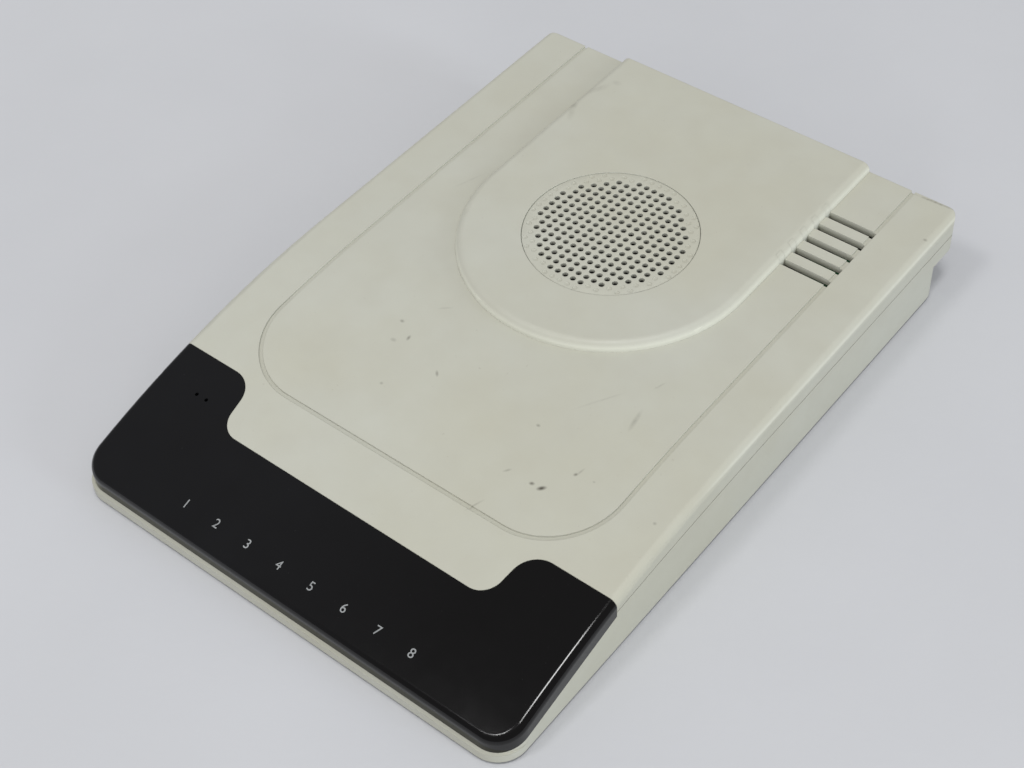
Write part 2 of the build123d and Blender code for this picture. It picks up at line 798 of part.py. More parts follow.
def line_transformer():
    """Laminated core with a bobbin through it."""
    x, y = 22.8 - board_half, board_rear_y - 44.3
    core = on_board(x, y, width=18.0, depth=16.0, height=10.2, low=1.0)
    core = chamfer(core.edges().filter_by(Axis.X), 0.5)
    return core + on_board(x, y, width=14.8, depth=20.0, height=8.8)


def relays():
    return group(
        chamfer(on_board(x, board_rear_y - 24.8, width=10.0, depth=15.0, height=9.5)
                .edges().filter_by(Axis.Z), 0.8)
        for x in (-28.5, -16.5)
    )


def opto_couplers():
    return group(package(x, board_rear_y - 54.8, width=6.5, depth=7.0, height=3.2, legs=3,
                         pitch=2.2) for x in (-21.0, 21.0))


def surge_arrestor():
    """Small glass tube lying across two short legs."""
    x, y = 5.8 - board_half, board_rear_y - 36.8
    body = rod(x, board_z + 3.4, 3.2, y - 4.0, y + 4.0)
    for side in (-1, 1):
        body += on_board(x, y + side * 3.0, width=0.8, depth=0.8, height=1.0)
    return body


def capacitors():
    """Electrolytic cans: x, y, radius and height."""
    rear, middle = board_rear_y - 20.5, board_front_y + 90.0
    cans = [
        (38.0, rear, 4.0, 10.6), (28.5, rear, 4.0, 10.6), (-6.0, rear, 3.0, 8.5),
        (6.0, rear, 3.0, 8.5), (board_half - 26.8, middle + 3.0, 3.0, 8.5),
        (board_half - 18.8, middle - 3.0, 2.5, 7.0),
    ]
    return group(chamfer(post(x, y, radius, board_z, board_z + height)
                         .edges().sort_by(Axis.Z)[-1], 0.4) for x, y, radius, height in cans)


def heat_sink():
    """Upright plate with a comb of fins on its rear side."""
    x, y = board_half - 16.8, heat_sink_y
    plate = on_board(x, y, heat_sink_width, heat_sink_plate, heat_sink_height)
    pitch = (heat_sink_width - heat_sink_fin) / (heat_sink_fins - 1)
    for i in range(heat_sink_fins):
        fin_x = x + (i - (heat_sink_fins - 1) / 2) * pitch
        plate += on_board(fin_x, y + heat_sink_reach / 2, heat_sink_fin, heat_sink_reach,
                          heat_sink_height)
    return plate


def voltage_regulator():
    """Upright package flat against the heat sink, on three legs."""
    depth = 4.4
    x = board_half - 16.8
    y = heat_sink_y - (heat_sink_plate + depth) / 2
    body = on_board(x, y, width=10.0, depth=depth, height=9.5, low=1.5)
    for i in (-1, 0, 1):
        body += on_board(x + i * 2.54, y, width=0.8, depth=0.6, height=2.0)
    return body


def lead_headers():
    """Open-topped sockets for the speaker's and the microphone's leads."""
    shells = []
    for x, y in ((header_x, header_y), (mic_x + 4.5, board_front_y + 18.0)):
        shell = on_board(x, y, header_width, header_depth, header_height)
        shells.append(shell - on_board(x, y, header_width - 2 * header_wall,
                                       header_depth - 2 * header_wall, top_z, low=header_floor))
    return group(shells)


def status_lights():
    lights = []
    tip_y = board_front_y - light_reach + light_dome_radius
    z = board_z + light_height / 2
    for x in light_places:
        body = block(x - light_width / 2, x + light_width / 2, board_front_y,
                     board_front_y + light_depth, board_z, board_z + light_height)
        dome = rod(x, z, light_dome_radius, tip_y, board_front_y + light_dome_radius)
        lights.append(body + dome + Pos(x, tip_y, z) * Sphere(light_dome_radius))
    return group(lights)


def light_guide():
    """Clear comb that carries each light to its window under the lens."""
    layer = envelope(lens_wall + guide_clearance)
    layer -= envelope(lens_wall + guide_clearance + guide_thickness)
    start = front_y + guide_front_run
    low = floor_z + guide_thickness + guide_clearance
    fingers = [block(x - guide_width / 2, x + guide_width / 2, start, start + guide_length,
                     low, top_z) for x in light_places]
    edge = light_places[-1] + guide_width
    bar = block(-edge, edge, start + guide_length - guide_bar, start + guide_length, low, top_z)
    return layer & joined(fingers + [bar])


# ---- rear connectors -----------------------------------------------------------------
def phone_jack(x):
    """A modular telephone socket with its plug cavity and latch notch."""
    front = panel_y + phone_jack_proud
    body = block(x - phone_jack_width / 2, x + phone_jack_width / 2,
                 front - phone_jack_depth, front, board_z, board_z + jack_height)
    body = chamfer(body.edges().filter_by(Axis.Y), jack_chamfer)
    z = plug_low_z()
    body -= block(x - plug_width / 2, x + plug_width / 2, front - plug_depth, front + 1,
                  z, z + plug_height)
    body -= block(x - plug_latch_width / 2, x + plug_latch_width / 2, front - plug_depth,
                  front + 1, z - plug_latch_height, z + 1)
    return body


def plug_low_z():
    return board_z + (jack_height - plug_height + plug_latch_height) / 2


def jack_contacts(x):
    """Four sprung wires slanting back under the roof of the plug cavity."""
    front = panel_y + phone_jack_proud
    high = plug_low_z() + plug_height
    bend, tip, back = front - contact_bend_run, front - contact_tip_run, front - plug_depth
    under, low = high - contact_wire, high - contact_drop
    outline = make_face(Polyline(
        (back, high), (bend, high), (bend - contact_wire, under), (tip, low),
        (tip - contact_wire, low + contact_wire), (bend - 3 * contact_wire, under),
        (back, under), close=True))
    middle = (contact_count - 1) / 2
    return group(Pos(x + (i - middle) * contact_pitch, 0, 0) * side_slab(outline, contact_width)
                 for i in range(contact_count))


def audio_jack(x):
    """A 3.5 mm socket: square body, round bush and a blind bore."""
    front = panel_y + jack_proud
    z = board_z + audio_jack_height / 2
    rear = panel_inner_y - panel_gap
    body = block(x - audio_jack_width / 2, x + audio_jack_width / 2, rear - audio_jack_depth,
                 rear, board_z, board_z + audio_jack_height)
    body = chamfer(body.edges().filter_by(Axis.Y), jack_chamfer)
    body += rod(x, z, audio_bush_radius, rear - 0.5, front)
    return body - rod(x, z, audio_bore_radius, front - audio_bore_depth, front + 1)


def power_inlet_z():
    return board_z + power_inlet_height / 2


def power_inlet():
    x, front = power_inlet_x, panel_y + jack_proud
    body = block(x - power_inlet_width / 2, x + power_inlet_width / 2,
                 front - power_inlet_depth, front, board_z, board_z + power_inlet_height)
    body = chamfer(body.edges().filter_by(Axis.Y), jack_chamfer)
    return body - rod(x, power_inlet_z(), power_bore_radius, front - power_bore_depth, front + 1)


def power_pin():
    front = panel_y + jack_proud
    pin = rod(power_inlet_x, power_inlet_z(), power_pin_radius, front - power_bore_depth,
              front - power_pin_recess)
    return chamfer(pin.edges().sort_by(Axis.Y)[-1], power_pin_radius / 2)


def serial_z():
    return board_z + serial_flange_height / 2


def serial_outline(grow=0.0):
    """The connector's D shape, wider at the top, as a closed line in the XZ plane."""
    top = serial_mouth_width / 2 + grow
    low = top - serial_mouth_height * math.tan(math.radians(serial_side_angle)) - grow
    half = serial_mouth_height / 2 + grow
    z = serial_z()
    return Polyline(
        (serial_x - top, z + half), (serial_x + top, z + half), (serial_x + low, z - half),
        (serial_x - low, z - half), close=True)


def serial_shell():
    """Pressed steel flange and D-shaped rim of the 25-way connector."""
    face = panel_inner_y - panel_gap
    flange = block(serial_x - serial_flange_width / 2, serial_x + serial_flange_width / 2,
                   face - serial_flange_thickness, face, board_z,
                   board_z + serial_flange_height)
    flange = fillet(flange.edges().filter_by(Axis.Y), serial_flange_radius)
    rim = back_slab(serial_outline(serial_shell_wall), face - serial_flange_thickness,
                    panel_y + serial_reach)
    shell = flange + rim
    shell -= back_slab(serial_outline(), face - serial_flange_thickness - 1,
                       panel_y + serial_reach + 1)
    for side in (-1, 1):
        shell -= rod(serial_x + side * serial_screw_spacing / 2, serial_z(),
                     jackscrew_thread_radius + 2 * cutout_gap, face - wall, face + 1)
    return shell


def contact_places():
    """Thirteen contacts in the upper row and twelve in the lower one."""
    upper = [(serial_x + (i - 6) * serial_pin_pitch, serial_z() + serial_row_spacing / 2)
             for i in range(13)]
    lower = [(serial_x + (i - 5.5) * serial_pin_pitch, serial_z() - serial_row_spacing / 2)
             for i in range(12)]
    return upper + lower


def serial_insulator():
    face = panel_inner_y - panel_gap - serial_flange_thickness
    mouth = panel_y + serial_reach - serial_mouth_sink
    core = back_slab(serial_outline(-serial_play), face - 1, mouth)
    half = serial_mouth_width / 2 + serial_body_margin
    core += block(serial_x - half, serial_x + half, face - serial_body_depth, face,
                  board_z, board_z + serial_flange_height - 1)
    hole = extrude(Plane.XZ * RegularPolygon(serial_hole_radius, 8), serial_hole_depth)
    return core - [Pos(x, mouth, z) * hole for x, z in contact_places()]


def serial_contacts():
    """Bent tails that run from the connector's back down into the board."""
    back = panel_inner_y - panel_gap - serial_flange_thickness - serial_body_depth
    half = serial_tail / 2
    tails = []
    for x, z in contact_places():
        reach = back - serial_row_step if z > serial_z() else back - panel_gap
        tail = block(x - half, x + half, reach - serial_tail, reach, board_z, z + half)
        tails.append(tail + block(x - half, x + half, reach - panel_gap, back, z - half, z + half))
    return group(tails)


def jackscrew(side):
    """Hexagonal standoff with a threaded hole for the cable's thumbscrew."""
    x = serial_x + side * serial_screw_spacing / 2
    hexagon = RegularPolygon(jackscrew_flats / 2, 6, major_radius=False)
    nut = Pos(x, panel_y, serial_z()) * extrude(Plane.XZ * hexagon, -jackscrew_reach)
    nut += rod(x, serial_z(), jackscrew_thread_radius, panel_inner_y - jackscrew_tail, panel_y)
    return nut - rod(x, serial_z(), jackscrew_thread_radius, panel_y + jackscrew_floor,
                     panel_y + jackscrew_reach + 1)


# ---- power switch --------------------------------------------------------------------
def switch_z():
    return board_z + jack_height / 2


def rocker_pivot_y():
    return panel_y - rocker_well_depth / 2


def power_switch():
    x, z = switch_x, switch_z()
    width, height = switch_width, switch_height
    front = panel_y + switch_proud
    bezel = block(x - width / 2, x + width / 2, panel_y, front, z - height / 2, z + height / 2)
    bezel = fillet(bezel.edges().filter_by(Axis.Y), switch_corner_radius)
    inner_w, inner_h = width - 2 * switch_bezel, height - 2 * switch_bezel
    body = bezel + block(x - inner_w / 2, x + inner_w / 2, panel_y - switch_depth,
                         panel_y + switch_proud / 2, z - inner_h / 2, z + inner_h / 2)
    well_w, well_h = inner_w - switch_wall, inner_h - switch_wall
    floor_y = panel_y - rocker_well_depth - switch_swing_room
    body -= block(x - well_w / 2, x + well_w / 2, floor_y, front + 1,
                  z - well_h / 2, z + well_h / 2)
    reach = (well_h + switch_wall) / 2
    return body + post(x, rocker_pivot_y(), rocker_pivot_radius, z - reach, z + reach)


def power_rocker():
    """A shallow V paddle, hinged on an upright pin and pressed at either end."""
    x, z = switch_x, switch_z()
    well_w = switch_width - 2 * switch_bezel - switch_wall
    well_h = switch_height - 2 * switch_bezel - switch_wall
    pivot = rocker_pivot_y()
    front = panel_y + switch_proud - pivot
    tip = front + rocker_rise
    tilt = math.radians(rocker_tilt)
    reach = (well_w / 2 - rocker_gap - tip * math.sin(tilt)) / math.cos(tilt)
    low, hub = front - rocker_thickness, rocker_hub_width / 2
    outline = Polyline(
        (-reach, tip), (0, tip - rocker_dip), (reach, tip), (reach, low),
        (hub, -rocker_pivot_radius), (0, -rocker_hub_depth), (-hub, -rocker_pivot_radius),
        (-reach, low), close=True)
    high = well_h / 2 - rocker_gap / 2
    paddle = prism(make_face(outline), -high, high)
    paddle -= post(0, 0, rocker_pivot_radius + rocker_pivot_gap, -high - 1, high + 1)
    return Pos(x, pivot, z) * Rot(0, 0, -rocker_tilt) * paddle


# ---- volume control ------------------------------------------------------------------
def volume_base():
    half = volume_base_size / 2
    base = block(wheel_x - half, wheel_x + half, wheel_y - half, wheel_y + half, board_z,
                 board_z + volume_base_height)
    base = chamfer(base.edges().filter_by(Axis.Z), volume_base_chamfer)
    return base + post(wheel_x, wheel_y, wheel_post_radius, board_z + volume_base_height / 2,
                       wheel_high_z + wheel_post_proud)


def volume_wheel():
    """Fluted disc that turns on the fixed post."""
    disc = Pos(wheel_x, wheel_y, wheel_low_z) * extrude(Circle(wheel_radius), wheel_thickness)
    disc = chamfer(disc.edges(), wheel_chamfer)
    disc -= post(wheel_x, wheel_y, wheel_post_radius + wheel_post_gap, 0, top_z)
    flutes = []
    for i in range(wheel_flutes):
        angle = 2 * math.pi * i / wheel_flutes
        flutes.append(post(wheel_x + wheel_radius * math.cos(angle),
                           wheel_y + wheel_radius * math.sin(angle),
                           wheel_flute_radius, wheel_low_z - 1, wheel_high_z + 1))
    return disc - flutes


# ---- leads ---------------------------------------------------------------------------
def speaker_lead():
    """Twin wire from the speaker's basket to its header on the board."""
    z = board_z + 5.2
    start_y = speaker_y - magnet_radius - 4
    wires = []
    for side in (-1, 1):
        x = header_x + side * 1.3
        wires.append(lead([(8 + side * 1.3, start_y, basket_z + 1.0),
                           (16 + side * 1.3, start_y - 10, z + 1.5),
                           (x, header_y + 8 - side * 1.2, z + 2.5),
                           (x, header_y, z + 1.2), (x, header_y, board_z + 1.3)], 0.6, 1.5))
    return group(wires)


def build_parts():
    """Every node by name."""
    parts = {
        "top_cover": top_cover(),
        "bottom_case": bottom_case(),
        "front_lens": front_lens(),
        "speaker_grille": speaker_grille(),
        "speaker_gasket": speaker_gasket(),
        "speaker_frame": speaker_frame(),
        "speaker_magnet": speaker_magnet(),
        "speaker_cone": speaker_cone(),
        "speaker_dust_cap": speaker_dust_cap(),
        "speaker_lead": speaker_lead(),
        "microphone_boot": microphone_boot(),
        "microphone_capsule": microphone_capsule(),
        "main_board": main_board(),
        "signal_processor": signal_processor(),
        "controller_chip": controller_chip(),
        "memory_chips": memory_chips(),
        "codec_chips": codec_chips(),
        "crystal": crystal(),
        "line_transformer": line_transformer(),
        "relays": relays(),
        "opto_couplers": opto_couplers(),
        "surge_arrestor": surge_arrestor(),
        "capacitors": capacitors(),
        "heat_sink": heat_sink(),
        "voltage_regulator": voltage_regulator(),
        "lead_headers": lead_headers(),
        "status_lights": status_lights(),
        "light_guide": light_guide(),
        "line_jack": phone_jack(line_jack_x),
        "line_contacts": jack_contacts(line_jack_x),
        "phone_jack": phone_jack(phone_jack_x),
        "phone_contacts": jack_contacts(phone_jack_x),
        "audio_in_jack": audio_jack(audio_in_x),
        "audio_out_jack": audio_jack(audio_out_x),
        "power_inlet": power_inlet(),
        "power_pin": power_pin(),
        "serial_shell": serial_shell(),
        "serial_insulator": serial_insulator(),
        "serial_contacts": serial_contacts(),
        "power_switch": power_switch(),
        "power_rocker": power_rocker(),
        "volume_base": volume_base(),
        "volume_wheel": volume_wheel(),
    }
    for i, side in enumerate((-1, 1), 1):
        parts[f"jackscrew_{i}"] = jackscrew(side)
    for i, place in enumerate(foot_places, 1):
        parts[f"rubber_foot_{i}"] = rubber_foot(*place)
    for i, place in enumerate(boss_places, 1):
        parts[f"case_screw_{i}"] = case_screw(*place)
    for i, place in enumerate(standoff_places, 1):
        parts[f"board_screw_{i}"] = board_screw(*place)
    return parts


os.makedirs("parts", exist_ok=True)
for node, shape in build_parts().items():
    export_step(shape, f"parts/{node}.step")
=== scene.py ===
"""Finishes, numerals, grille and stage for a low desktop voice modem.

Every piece is placed from the packed model's own boxes, in metres, and rides on the body
that it belongs to.
"""

import math

import bmesh
import bpy
from bpy.props import FloatProperty, FloatVectorProperty, IntProperty, PointerProperty
from bpy.types import Operator, Panel, PropertyGroup
from mathutils import Euler, Matrix, Vector
from mathutils.bvhtree import BVHTree
from mathutils.geometry import delaunay_2d_cdt


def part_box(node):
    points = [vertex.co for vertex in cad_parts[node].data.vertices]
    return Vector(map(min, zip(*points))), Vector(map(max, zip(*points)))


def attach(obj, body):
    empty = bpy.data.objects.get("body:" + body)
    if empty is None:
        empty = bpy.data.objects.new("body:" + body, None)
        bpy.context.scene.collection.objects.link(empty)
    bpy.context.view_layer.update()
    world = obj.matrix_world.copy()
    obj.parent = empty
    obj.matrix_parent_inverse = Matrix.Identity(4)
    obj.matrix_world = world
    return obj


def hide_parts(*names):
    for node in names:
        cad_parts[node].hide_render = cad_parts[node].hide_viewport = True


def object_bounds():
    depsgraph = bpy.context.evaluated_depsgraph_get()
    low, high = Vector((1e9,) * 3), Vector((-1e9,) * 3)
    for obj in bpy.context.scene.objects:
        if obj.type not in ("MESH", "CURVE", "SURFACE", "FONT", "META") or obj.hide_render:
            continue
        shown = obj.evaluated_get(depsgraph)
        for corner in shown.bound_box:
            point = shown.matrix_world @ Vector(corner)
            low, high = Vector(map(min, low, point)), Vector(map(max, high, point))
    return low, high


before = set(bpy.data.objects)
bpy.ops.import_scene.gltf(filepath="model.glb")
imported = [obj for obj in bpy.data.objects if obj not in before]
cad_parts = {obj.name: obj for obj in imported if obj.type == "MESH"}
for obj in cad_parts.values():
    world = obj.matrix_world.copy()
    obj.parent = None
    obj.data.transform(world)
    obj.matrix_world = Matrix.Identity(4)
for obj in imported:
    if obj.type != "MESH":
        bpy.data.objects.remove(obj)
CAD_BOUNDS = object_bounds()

bl_info = {
    "name": "Desktop Modem Looks",
    "version": (1, 0, 0),
    "blender": (4, 5, 0),
    "location": "View3D > Sidebar > Modem",
    "description": "Moulded shell, gloss lens, grille and fittings of a desktop modem",
    "category": "Object",
}

MM = 0.001
DOWN = Vector((0.0, 0.0, -1.0))
MIX_AMOUNT, MIX_FIRST, MIX_SECOND, MIX_RESULT = 0, 6, 7, 2    # sockets of a colour mix
DIGIT_HEIGHT = 0.69                      # of a digit, as a part of the font's size
RIM_SIDES = 120                          # straight sides round the grille's edge
MIDWAY = 0.3                             # middle ring of a rounding, as a part of its size
DIMPLE_RINGS = (1.0, 0.88, 0.6, 0.3)     # radii down a dimple, as parts of its mouth's


# ---- settings ------------------------------------------------------------------------
def tint(name, red, green, blue, description):
    """A colour property, given as linear red, green and blue."""
    return FloatVectorProperty(
        name=name, description=description, subtype="COLOR", size=3, min=0.0, max=1.0,
        default=(red, green, blue))


def length(name, millimetres, description):
    """A length property whose default is given in millimetres."""
    return FloatProperty(
        name=name, description=description, subtype="DISTANCE", unit="LENGTH", min=0.0,
        precision=5, default=millimetres * MM)


def share(name, value, description):
    """A plain number from nought to one."""
    return FloatProperty(
        name=name, description=description, subtype="FACTOR", min=0.0, max=1.0, default=value)


class ModemShellFinish(PropertyGroup):
    """Off-white moulded plastic of the two shells and the grille."""
    colour: tint("Colour", 0.512, 0.513, 0.442, "Clean plastic")
    aged: tint("Aged colour", 0.492, 0.486, 0.400, "Where the plastic has yellowed a little")
    grime: tint("Grime", 0.20, 0.18, 0.14, "Rubbed-in dirt")
    roughness: share("Roughness", 0.46, "Mean roughness of the satin surface")
    pod_half_width: length("Pod half width", 42.0, "From the middle to the pod's straight side")
    vent_bite: length("Vent bite", 1.5, "How far the slots cut into the pod's side")
    grain_size: length("Grain size", 0.55, "Spacing of the moulded grain")
    grain_depth: length("Grain depth", 0.012, "Height of the moulded grain")
    edge_radius: length("Edge radius", 0.30, "Soft look of the moulded edges")


class ModemLensFinish(PropertyGroup):
    """Dark gloss plastic that wraps round the front."""
    colour: tint("Colour", 0.0010, 0.0006, 0.0006, "Body of the plastic on the right")
    left_tone: tint("Leftward", 0.0054, 0.0054, 0.0062, "Slightly faded body on the left")
    lint: tint("Lint", 0.09, 0.09, 0.09, "Specks of dust")
    roughness: share("Roughness", 0.12, "Mean roughness of the top")
    mottle_size: length("Mottle size", 1.1, "Spacing of the fine mottled texture")
    mottle_depth: length("Mottle depth", 0.002, "Height of the fine mottled texture")


class ModemNumerals(PropertyGroup):
    """Plain printed numerals beside the eight lights."""
    count: IntProperty(name="Count", description="How many numerals", default=8, min=1, max=20)
    pitch: length("Pitch", 10.6, "From one numeral to the next")
    height: length("Height", 2.45, "Of a numeral")
    setback: length("Setback", 6.85, "Middle of the row behind the front edge")
    thickness: length("Ink thickness", 0.02, "Of the printed ink")
    colour: tint("Ink", 0.28, 0.29, 0.29, "Printing ink")


class ModemGrille(PropertyGroup):
    """Square field of round holes, with a rim of shallow dimples."""
    pitch: length("Pitch", 2.5, "From one hole to the next")
    hole_radius: length("Hole radius", 0.82, "Of each hole")
    lip: length("Lip", 0.06, "Rounding at a hole's mouth")
    field_radius: length("Field radius", 20.95, "Holes inside this circle go through")
    dimple_field: length("Dimple field radius", 23.1, "Dimples lie between the two circles")
    dimple_radius: length("Dimple radius", 0.74, "Of each dimple")
    dimple_depth: length("Dimple depth", 0.28, "Of each dimple")
    bevel: length("Bevel", 0.10, "Rounding of the disc's upper edge")
    web: length("Web thickness", 1.0, "Of the perforated part")
    rim: length("Rim width", 0.8, "Of the thicker ring round the edge")
    edge_radius: length("Edge radius", 0.12, "Soft look of the moulded edges")
    eighth: IntProperty(
        name="Sides to an eighth", description="Straight sides in an eighth of a hole",
        default=2, min=1, max=4)


class ModemFittings(PropertyGroup):
    """Colours of the parts behind the case's openings."""
    black: tint("Black plastic", 0.012, 0.012, 0.013, "Sockets, switch and wheel")
    steel: tint("Plated steel", 0.58, 0.58, 0.57, "Screws and connector shells")
    gold: tint("Gold plating", 0.78, 0.52, 0.18, "Contacts")
    board: tint("Solder mask", 0.012, 0.075, 0.028, "Circuit board")
    chips: tint("Chip epoxy", 0.013, 0.013, 0.014, "Packages on the board")
    nylon: tint("Pale nylon", 0.56, 0.53, 0.45, "Relays, headers and insulator")
    tape: tint("Bobbin tape", 0.46, 0.31, 0.035, "Wrapping of the line transformer")
    clear: tint("Tinted plastic", 0.62, 0.10, 0.08, "Lights and their guide")
    clear_pale: tint("Pale tint", 0.70, 0.16, 0.12, "Paler patches in the tinted plastic")
    cone: tint("Cone paper", 0.020, 0.018, 0.017, "Loudspeaker cone")
    foam: tint("Foam", 0.014, 0.014, 0.015, "Gasket and microphone boot")
    basket: tint("Basket plate", 0.33, 0.33, 0.34, "Frame and magnet of the loudspeaker")
    jacket: tint("Lead jacket", 0.30, 0.015, 0.012, "Loudspeaker lead")
    bare: tint("Bare metal", 0.62, 0.63, 0.65, "Microphone, crystal and heat sink")
    rubber: tint("Rubber", 0.018, 0.018, 0.018, "Feet")


class ModemStage(PropertyGroup):
    """Floor, lamps, surroundings and camera."""
    floor: tint("Floor", 0.562, 0.568, 0.585, "Plain pale floor")
    sky: tint("Surroundings", 0.545, 0.548, 0.560, "Even light from all round")
    sky_gloss: tint("Mirrored surroundings", 0.215, 0.217, 0.223, "What gloss surfaces mirror")
    strip: share("Strip lamp", 0.30, "Part of the plain light level, from the bright strip")
    side: share("Side lamp", 0.41, "Part of the plain light level, from the right")
    front: share("Front lamp", 0.22, "Part of the plain light level, from the front")
    spark: share("Spark lamp", 0.17, "Part of the plain light level, from a small lamp")
    lens: FloatProperty(
        name="Focal length", description="Of the camera, in millimetres", default=64.208,
        min=1.0, subtype="DISTANCE_CAMERA")
    right: length("Camera right", 216.5, "Of the middle of the case")
    ahead: length("Camera ahead", 352.2, "In front of the case's rear edge")
    above: length("Camera above", 336.3, "Over the top of the speaker pod")
    turn: FloatVectorProperty(
        name="Camera turn", description="Rotation of the camera", subtype="EULER", size=3,
        default=[math.radians(angle) for angle in (42.3096, 2.6773, 38.5906)])


# ---- node trees ----------------------------------------------------------------------
class Tree:
    """A material's node tree, with short calls for the nodes that recur."""

    def __init__(self, name):
        self.material = bpy.data.materials.new(name)
        self.material.use_nodes = True
        self.tree = self.material.node_tree
        self.shader = self.tree.nodes["Principled BSDF"]
        self.place = self.node("TexCoord").outputs["Object"]

    def node(self, kind, inputs=None, **settings):
        """A new node with its settings, and its inputs linked or given a value."""
        made = self.tree.nodes.new("ShaderNode" + kind)
        for key, value in settings.items():
            setattr(made, key, value)
        for key, value in (inputs or {}).items():
            self.feed(made.inputs[key], value)
        return made

    def feed(self, socket, value):
        """Link another node's output to a socket, or set the socket's own value."""
        if isinstance(value, bpy.types.NodeSocket):
            self.tree.links.new(value, socket)
        else:
            socket.default_value = value

    def noise(self, size, detail=2.0, stretch=None):
        """Noise whose features are about the given size in metres."""
        place = self.place
        if stretch:
            place = self.node("Mapping", {"Vector": place, "Scale": stretch}).outputs[0]
        return self.node("TexNoise", {
            "Vector": place, "Scale": 1.0 / size, "Detail": detail, "Roughness": 0.55,
        }).outputs["Fac"]

    def spread(self, value, low, high, to_low=0.0, to_high=1.0):
        """Map a value from one range to another, clamped."""
        return self.node("MapRange", {
            "Value": value, "From Min": low, "From Max": high, "To Min": to_low,
            "To Max": to_high}).outputs["Result"]

    def mix(self, amount, first, second):
        """Blend two colours."""
        made = self.node("Mix", data_type="RGBA")
        for index, value in ((MIX_AMOUNT, amount), (MIX_FIRST, first), (MIX_SECOND, second)):
            self.feed(made.inputs[index], value)
        return made.outputs[MIX_RESULT]

    def times(self, first, second):
        """One value times another."""
        return self.node("Math", {0: first, 1: second}, operation="MULTIPLY").outputs[0]

    def largest(self, first, second):
        """The larger of two values."""
        return self.node("Math", {0: first, 1: second}, operation="MAXIMUM").outputs[0]

    def softened(self, radius):
        """Normals rounded over near the edges."""
        return self.node("Bevel", {"Radius": radius}, samples=4).outputs["Normal"]

    def bump(self, height, depth, below=None):
        """A bump of the given depth in metres, over another one if given."""
        inputs = {"Height": height, "Distance": depth, "Strength": 1.0}
        if below is not None:
            inputs["Normal"] = below
        return self.node("Bump", inputs).outputs["Normal"]

    def finish(self, colour, roughness, normal=None, **plain):
        """Wire the shader; plain values are set on the shader's own sockets."""
        self.feed(self.shader.inputs["Base Color"], colour)
        self.feed(self.shader.inputs["Roughness"], roughness)
        if normal is not None:
            self.feed(self.shader.inputs["Normal"], normal)
        for key, value in plain.items():
            label = key.replace("_", " ").title().replace("Ior", "IOR")
            self.shader.inputs[label].default_value = value
        return self.material


def rgba(colour, factor=1.0):
    """Four numbers from a colour property, made lighter or darker by a factor."""
    return (*(min(1.0, part * factor) for part in colour), 1.0)


def paint(material, *nodes):
    """Give packed parts a material in their own slots."""
    for name in nodes:
        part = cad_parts[name]
        for slot in part.material_slots:
            slot.material = material
        if not part.material_slots:
            part.data.materials.append(material)


# ---- materials -----------------------------------------------------------------------
# Marks on the top of the shell: x, y, half length and half width in millimetres, the
# turn in degrees, how dark it is, and how much of it is broken up.
RUB_MARKS = [
    (32.6, -12.6, 7.0, 0.35, 58.0, 0.14, 0.7),
    (43.5, -12.7, 3.4, 0.65, 100.0, 0.28, 0.4),
    (41.8, 0.1, 1.8, 0.30, 73.0, 0.20, 0.4),
    (34.1, -42.1, 0.7, 0.50, 20.0, 0.80, 0.2),
    (36.9, -41.9, 1.2, 0.60, 44.0, 1.00, 0.1),
    (41.4, -34.2, 0.6, 0.45, 60.0, 0.65, 0.2),
    (41.9, -33.0, 1.4, 0.30, 80.0, 0.28, 0.3),
    (46.4, -33.5, 0.4, 0.30, 0.0, 0.30, 0.2),
    (26.7, -42.4, 1.1, 0.35, 50.0, 0.35, 0.3),
    (26.1, -54.4, 2.6, 0.30, 66.0, 0.28, 0.4),
    (65.3, -35.0, 0.5, 0.45, 0.0, 0.35, 0.2),
    (24.8, -27.6, 0.6, 0.45, 0.0, 0.45, 0.2),
    (-6.8, -29.0, 1.0, 0.40, 134.0, 0.55, 0.2),
    (-16.8, -39.2, 0.5, 0.45, 0.0, 0.35, 0.2),
    (-25.8, -20.5, 0.7, 0.50, 0.0, 0.45, 0.2),
    (-20.6, -24.0, 0.9, 0.45, 100.0, 0.60, 0.2),
    (-23.5, -26.7, 0.9, 0.60, 0.0, 0.28, 0.2),
    (-19.4, -10.5, 1.8, 0.35, 40.0, 0.16, 0.3),
    (-46.2, 32.1, 5.0, 0.35, 70.0, 0.12, 0.6),
    # The next four marks darken the shell near the left edge of the pod, towards the rear.
    (-40.4, 72.6, 1.5, 1.10, -60.0, 0.24, 0.2),
    (-39.0, 69.6, 3.4, 1.00, -63.0, 0.13, 0.3),
    (-39.2, 82.6, 3.8, 1.10, 64.0, 0.15, 0.4),
    (-36.4, 87.9, 1.5, 1.00, 10.0, 0.11, 0.3),
    (62.5, 98.9, 6.0, 0.40, 3.0, 0.50, 0.9),
    (68.2, 84.4, 0.6, 0.50, 0.0, 0.45, 0.2),
]


def rub_mark(tree, breakup, mark):
    """Mask of one elongated mark with a broken edge."""
    x, y, half_length, half_width, turn, darkness, broken = mark
    local = tree.node("Mapping", {
        "Vector": tree.place, "Location": (x * MM, y * MM, 0.0),
        "Rotation": (0.0, 0.0, math.radians(turn)),
        "Scale": (half_length * MM, half_width * MM, 1.0)}, vector_type="TEXTURE").outputs[0]
    reach = tree.node("VectorMath", {0: local}, operation="LENGTH").outputs["Value"]
    body = tree.spread(reach, 1.25, 0.25, 0.0, darkness)
    return tree.times(body, tree.spread(breakup, 0.35, 0.60, 1.0 - broken, 1.0))


